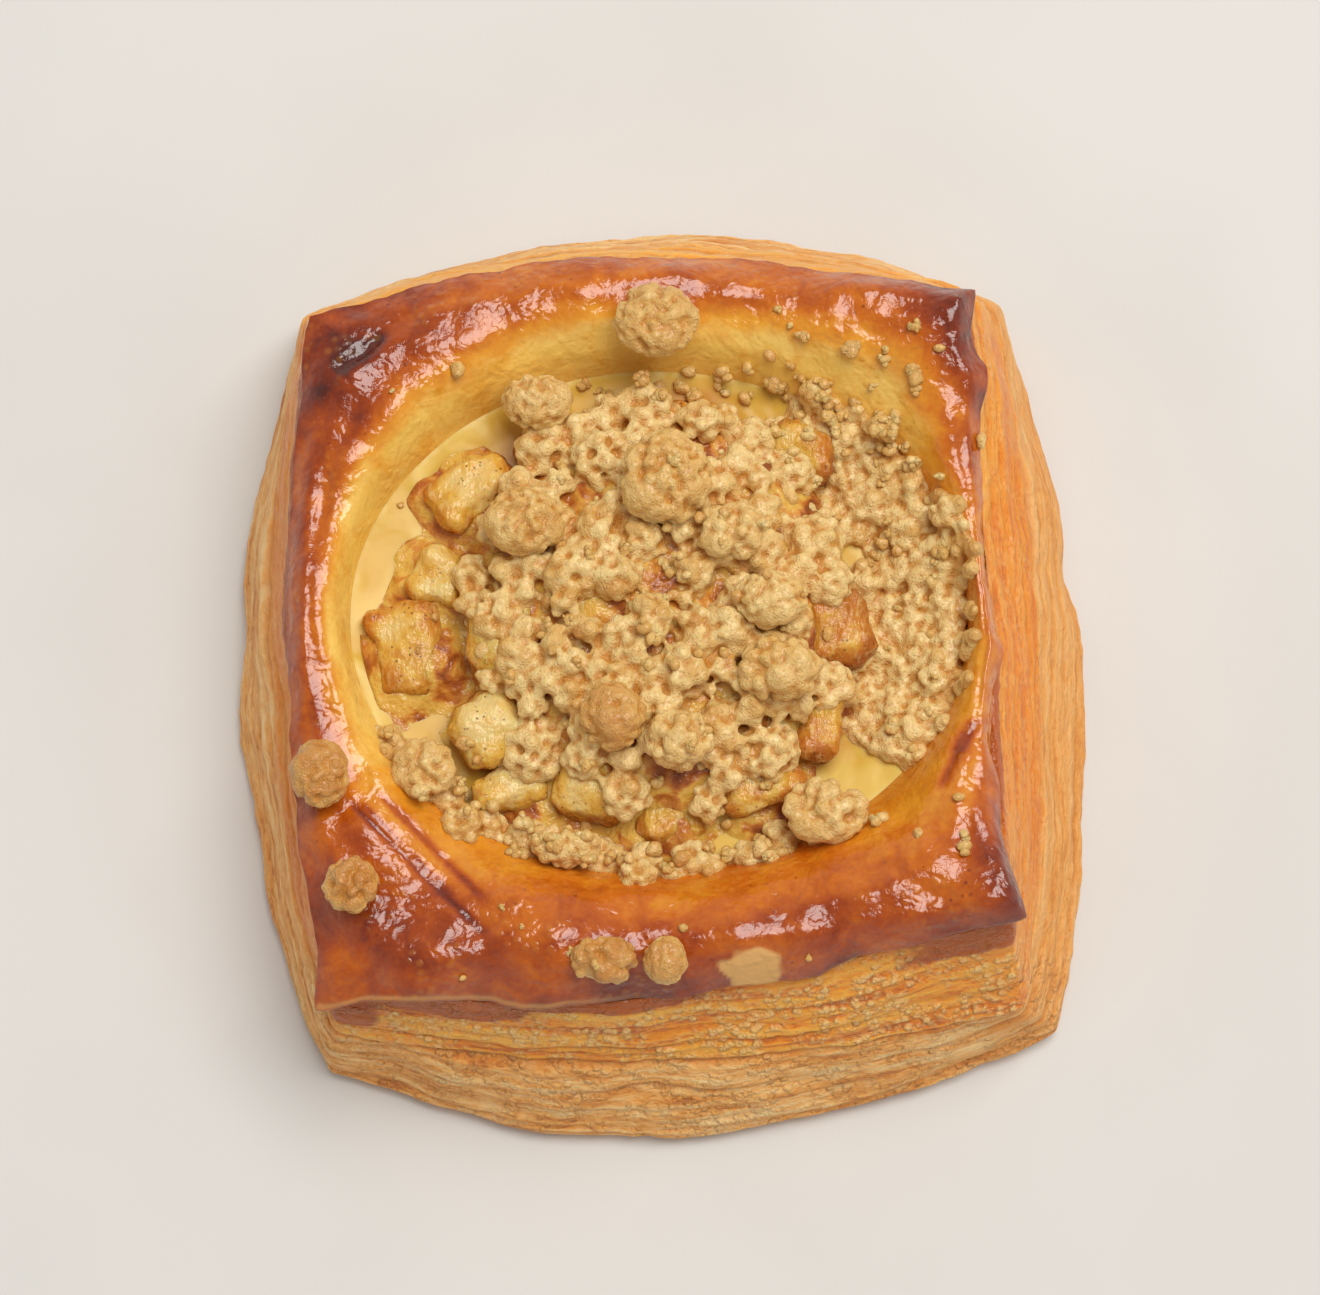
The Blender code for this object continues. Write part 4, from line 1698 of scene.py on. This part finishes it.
    def clump(self, node: str, toast: float, style: Crumb, seed: int) -> bpy.types.Object:
        """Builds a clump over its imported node's box.

        Args:
            node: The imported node.
            toast: How toasted it is, from 0 to 1.
            style: How it is put together.
            seed: Picks one clump out of many.

        Returns:
            The piece.
        """
        dice = random.Random(seed)
        low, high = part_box(node)
        centre, half = (low + high) / 2, (high - low) / 2
        mean = (half.x + half.y + half.z) / 3
        core = 0.86 if style is Crumb.SMOOTH else 0.76
        nodules = [Nodule(centre, core, tuple(half))]
        for _ in range(style.count):
            heading = Vector((dice.gauss(0, 1), dice.gauss(0, 1), dice.gauss(0, 1))).normalized()
            reach = Vector(part * size for part, size in zip(heading, half)) * style.reach
            size = mean * style.nodule_share * dice.uniform(0.65, 1.3)
            nodules.append(Nodule(centre + reach, size))
        for _ in range(4):
            heading = Vector((dice.gauss(0, 1), dice.gauss(0, 1), dice.gauss(0.2, 0.6))).normalized()
            reach = Vector(part * size for part, size in zip(heading, half)) * 0.62
            nodules.append(Nodule(centre + reach, mean * dice.uniform(0.40, 0.55)))
        piece = voxel_skin(node + "_crumble", nodules, self.clump_voxel, self.material)

        def browned(place: Vector, normal: Vector) -> float:
            """Toasted most on top."""
            share = (place.z - low.z) / (high.z - low.z)
            return toast * smooth_step(0.1, 0.9, share) + 0.16 * ripple(place, 4.0 * MM, seed) + 0.08

        return crumbled(piece, browned)

    def strewn(self, name: str, strip: "Strip", ground: "Ground") -> bpy.types.Object:
        """Builds crumble that lies along the edge of the well, part on the custard, part on the rim.

        Args:
            name: The piece's name.
            strip: Where it lies, and how thickly.
            ground: What it lies on.

        Returns:
            The piece.
        """
        dice = random.Random(strip.seed)
        cores: list[Nodule] = []
        crumbs: list[Nodule] = []
        for index in range(strip.tries):
            angle = math.radians(dice.uniform(*strip.angles))
            share = strip.share - abs(dice.gauss(0.0, strip.spread)) + dice.uniform(-0.04, 0.05)
            place = WELL.point_at(share, angle)
            hit = ground.under(place.x, place.y)
            if hit is None or HEAP.share(place.to_3d()) < 0.93:
                continue
            heaped = smooth_step(0.80, 0.94, share) * strip.lift + 0.7 * ripple(hit[0], 4.0 * MM, 71.0)
            centre = hit[0] + Vector((0.0, 0.0, (dice.uniform(-0.5, 0.4) + heaped) * MM))
            if index % strip.clustered:
                crumbs.append(Nodule(centre, dice.uniform(0.42, 1.0) * MM, toast=dice.gauss(0.0, 0.15)))
                under = centre - Vector((0.0, 0.0, 0.9 * MM))
                cores.append(Nodule(under, 1.3 * MM, (1.0, 1.0, 0.6)))
            else:
                radius = dice.uniform(*strip.clusters) * MM
                cores.append(Nodule(centre, radius * 0.8))
                crumbs += self.cluster(centre, radius, dice)

        def toast(place: Vector, normal: Vector) -> float:
            """Toasted towards the rim."""
            rim = smooth_step(0.90, 1.04, WELL.share(place))
            return 0.36 * rim + 0.2 * ripple(place, 5.0 * MM, 70.0)

        return self.fused(name, cores, crumbs, self.strip_voxel, toast)

    def loose(self, ground: "Ground") -> bpy.types.Object:
        """Scatters loose crumbs on the heap, the custard and the rim.

        Args:
            ground: What the crumbs may lie on.

        Returns:
            The piece.
        """
        dice = random.Random(23)
        bm = bmesh.new()
        for zone in LOOSE_ZONES:
            for _ in range(zone.count):
                x = (zone.centre[0] + dice.gauss(0, zone.spread[0])) * MM
                y = (zone.centre[1] + dice.gauss(0, zone.spread[1])) * MM
                hit = ground.under(x, y)
                if hit is None or hit[0].z < 20.0 * MM or hit[1].z < 0.3:
                    continue
                radius = dice.uniform(*zone.sizes) * MM
                middle = hit[0] + hit[1] * radius * 0.45
                self.grain(bm, middle, radius, dice)
                for _ in range(dice.randint(0, 3)):
                    aside = Vector((dice.gauss(0, 1), dice.gauss(0, 1), dice.gauss(0, 0.3))).normalized()
                    self.grain(bm, middle + aside * radius, radius * dice.uniform(0.45, 0.85), dice)
        store(bm, "toast", [0.42 + 0.4 * ripple(v.co, 7.0 * MM, 80.0) for v in bm.verts])
        store(bm, "cleft_shade", [0.0] * len(bm.verts))
        return to_object("loose_crumbs", bm, self.material)

    def grain(self, bm: bmesh.types.BMesh, place: Vector, radius: float, dice: random.Random) -> None:
        """Adds one loose crumb.

        Args:
            bm: The mesh that it is added to.
            place: Its middle.
            radius: Its radius.
            dice: The random numbers to draw from.
        """
        seed = dice.uniform(0, 50)
        stretch = Vector((dice.uniform(0.75, 1.3), dice.uniform(0.75, 1.3), dice.uniform(0.7, 1.0)))
        crumb = icosphere(2)
        for vertex in crumb.vertices:
            offset = vertex.co * stretch
            vertex.co = offset * (1.0 + 0.45 * ripple(offset, 1.1, seed))
        append(bm, crumb, Matrix.Translation(place) @ Matrix.Scale(radius, 4))
        bpy.data.meshes.remove(crumb)


@dataclass(frozen=True)
class Strip:
    """Where crumble lies along the well's edge: degrees round it, shares of its size, sizes in mm."""

    seed: int
    angles: tuple[float, float]
    share: float
    spread: float
    tries: int
    clustered: int
    clusters: tuple[float, float]
    lift: float


BANK = Strip(11, (-36.0, 62.0), 1.0, 0.16, 1100, 11, (1.2, 2.1), 1.0)
FRONT_CHAIN = Strip(31, (-152.0, -56.0), 1.0, 0.020, 120, 6, (1.2, 2.5), 0.5)


@dataclass(frozen=True)
class Zone:
    """A patch where loose crumbs lie, in mm: its middle, its spread, how many and how big."""

    centre: tuple[float, float]
    spread: tuple[float, float]
    count: int
    sizes: tuple[float, float]


LOOSE_ZONES = (
    Zone((0.0, 4.0), (13.0, 14.0), 50, (0.35, 0.85)),
    Zone((29.0, 10.0), (3.5, 12.0), 30, (0.35, 0.8)),
    Zone((22.0, 27.0), (7.0, 3.0), 30, (0.4, 0.95)),
    Zone((8.0, 32.0), (12.0, 1.6), 26, (0.4, 0.95)),
    Zone((-25.0, -19.5), (3.2, 1.8), 8, (0.5, 1.0)),
    Zone((-13.0, -25.6), (4.5, 1.3), 10, (0.5, 1.0)),
    Zone((1.0, -28.2), (5.0, 1.1), 10, (0.5, 1.0)),
    Zone((12.0, -26.6), (4.0, 1.3), 8, (0.5, 1.0)),
    Zone((28.0, -24.0), (4.0, 2.5), 5, (0.3, 0.9)),
    Zone((-10.0, -39.0), (14.0, 2.5), 7, (0.25, 0.8)),
    Zone((-34.0, 20.0), (3.0, 8.0), 3, (0.25, 0.6)),
    Zone((20.0, 38.0), (8.0, 3.0), 3, (0.25, 0.7)),
)

APPLE_TONES = (
    0.28, 0.20, 0.14, 0.42, 0.02, 0.12, 0.08, 0.0, 0.12, 0.10, 0.42, 0.36, 0.50, 0.52, 0.44, 0.14, 0.46,
)
CLUMPS = (
    ("heap_clump_01", 0.36, Crumb.SMOOTH),
    ("heap_clump_02", 0.36, Crumb.SMOOTH),
    ("heap_clump_03", 0.16, Crumb.SMOOTH),
    ("heap_clump_04", 0.26, Crumb.KNOBBLY),
    ("heap_clump_05", 0.62, Crumb.SMOOTH),
    ("heap_clump_06", 0.14, Crumb.KNOBBLY),
    ("heap_clump_07", 0.12, Crumb.KNOBBLY),
    ("loose_clump_01", 0.42, Crumb.SMOOTH),
    ("loose_clump_02", 0.22, Crumb.SMOOTH),
    ("loose_clump_03", 0.80, Crumb.SMOOTH),
    ("loose_clump_04", 0.80, Crumb.KNOBBLY),
    ("loose_clump_05", 0.22, Crumb.KNOBBLY),
    ("loose_clump_06", 0.16, Crumb.KNOBBLY),
    ("loose_clump_07", 0.20, Crumb.KNOBBLY),
    ("loose_clump_08", 0.75, Crumb.KNOBBLY),
    ("loose_clump_09", 0.66, Crumb.SMOOTH),
)


# ---------------------------------------------------------------------------------------------
# The studio
# ---------------------------------------------------------------------------------------------


@dataclass
class Studio:
    """A pale worktop, one big soft lamp, a dim surround and the camera."""

    aim: Vector
    distance: float = 450.0 * MM
    elevation: float = 77.0
    lens: float = 98.2
    sensor: float = 36.0
    floor_half: float = 1.5
    lamp_from: tuple[float, float, float] = (0.24, 0.22, 0.94)
    lamp_distance: float = 1.6
    lamp_size: float = 1.06
    lamp_watts: float = 21.5
    horizon: float = 0.68
    zenith: float = 0.20

    def floor(self) -> None:
        """Lays the worktop."""
        bm = bmesh.new()
        bmesh.ops.create_grid(bm, x_segments=1, y_segments=1, size=self.floor_half)
        to_object("worktop", bm, FloorFinish().material())

    def lamp(self) -> None:
        """Hangs the lamp."""
        heading = Vector(self.lamp_from).normalized()
        light = bpy.data.lights.new("softbox", "AREA")
        light.shape = "SQUARE"
        light.size = self.lamp_size
        light.energy = self.lamp_watts
        light.color = (1.0, 0.975, 0.945)
        holder = bpy.data.objects.new("softbox", light)
        holder.location = self.aim + heading * self.lamp_distance
        holder.rotation_euler = heading.to_track_quat("Z", "Y").to_euler()
        bpy.context.scene.collection.objects.link(holder)

    def surroundings(self) -> None:
        """Sets the soft light from all round, brightest near the horizon."""
        world = bpy.data.worlds.new("studio")
        world.use_nodes = True
        tree = world.node_tree
        heading = tree.nodes.new("ShaderNodeTexCoord")
        parts = tree.nodes.new("ShaderNodeSeparateXYZ")
        fade = tree.nodes.new("ShaderNodeMapRange")
        fade.inputs["To Min"].default_value = self.horizon
        fade.inputs["To Max"].default_value = self.zenith
        background = tree.nodes["Background"]
        background.inputs["Color"].default_value = (1.0, 0.985, 0.965, 1.0)
        tree.links.new(heading.outputs["Generated"], parts.inputs[0])
        tree.links.new(parts.outputs["Z"], fade.inputs["Value"])
        tree.links.new(fade.outputs["Result"], background.inputs["Strength"])
        bpy.context.scene.world = world

    def camera(self) -> None:
        """Places the camera, which looks down from the front."""
        tilt = math.radians(self.elevation)
        back = Vector((0.0, -math.cos(tilt), math.sin(tilt)))
        data = bpy.data.cameras.new("camera")
        data.lens = self.lens
        data.sensor_width = self.sensor
        data.clip_start = 0.01
        holder = bpy.data.objects.new("camera", data)
        holder.location = self.aim + back * self.distance
        holder.rotation_euler = back.to_track_quat("Z", "Y").to_euler()
        bpy.context.scene.collection.objects.link(holder)
        bpy.context.scene.camera = holder

    def make(self) -> None:
        """Sets up the studio."""
        self.floor()
        self.lamp()
        self.surroundings()
        self.camera()
        bpy.context.scene.view_settings.view_transform = "Standard"


def main() -> None:
    """Builds the danish and its studio."""
    logging.basicConfig(level=logging.INFO, format="%(name)s %(message)s")
    Studio(aim=Vector((-0.3, 0.2, 15.0)) * MM).make()

    side = dress(DoughSide().make(LeavesFinish().material()), "baked_dough", "pastry")
    crust = dress(Crust().make(CrustFinish().material()), "baked_dough", "pastry")

    apples = sorted(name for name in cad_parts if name.startswith("apple_"))
    middles = [sum(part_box(name), Vector()) / 2 for name in apples]
    custard = dress(Custard().make(CustardFinish().material(), middles), "custard", "custard")

    fruit = AppleFinish().material()
    dice = []
    for index, (name, tone) in enumerate(zip(apples, APPLE_TONES)):
        dice.append(dress(AppleDice(name, tone, index).make(fruit), "cooked_apple", name))

    streusel = Streusel(StreuselFinish().material())
    compote = dress(streusel.compote(CompoteFinish().material()), "cooked_apple", "streusel_heap")
    heap = dress(streusel.heap(), "streusel", "streusel_heap")
    dough = Ground([crust, custard])
    bank = dress(streusel.strewn("streusel_bank_crumble", BANK, dough), "streusel", "streusel_bank")
    clumps = []
    for seed, (name, toast, style) in enumerate(CLUMPS):
        clumps.append(dress(streusel.clump(name, toast, style, seed), "streusel", name))
    ground = Ground([crust, custard, compote, *dice])
    chain = dress(streusel.strewn("streusel_front_crumble", FRONT_CHAIN, ground), "streusel")
    ground = Ground([crust, custard, compote, heap, bank, chain, *dice, *clumps])
    dress(streusel.loose(ground), "streusel")

    LOG.info("pieces ride on %s, side at z up to %.4f", BODY, max(v.co.z for v in side.data.vertices))


if __name__ == "__main__":
    main()
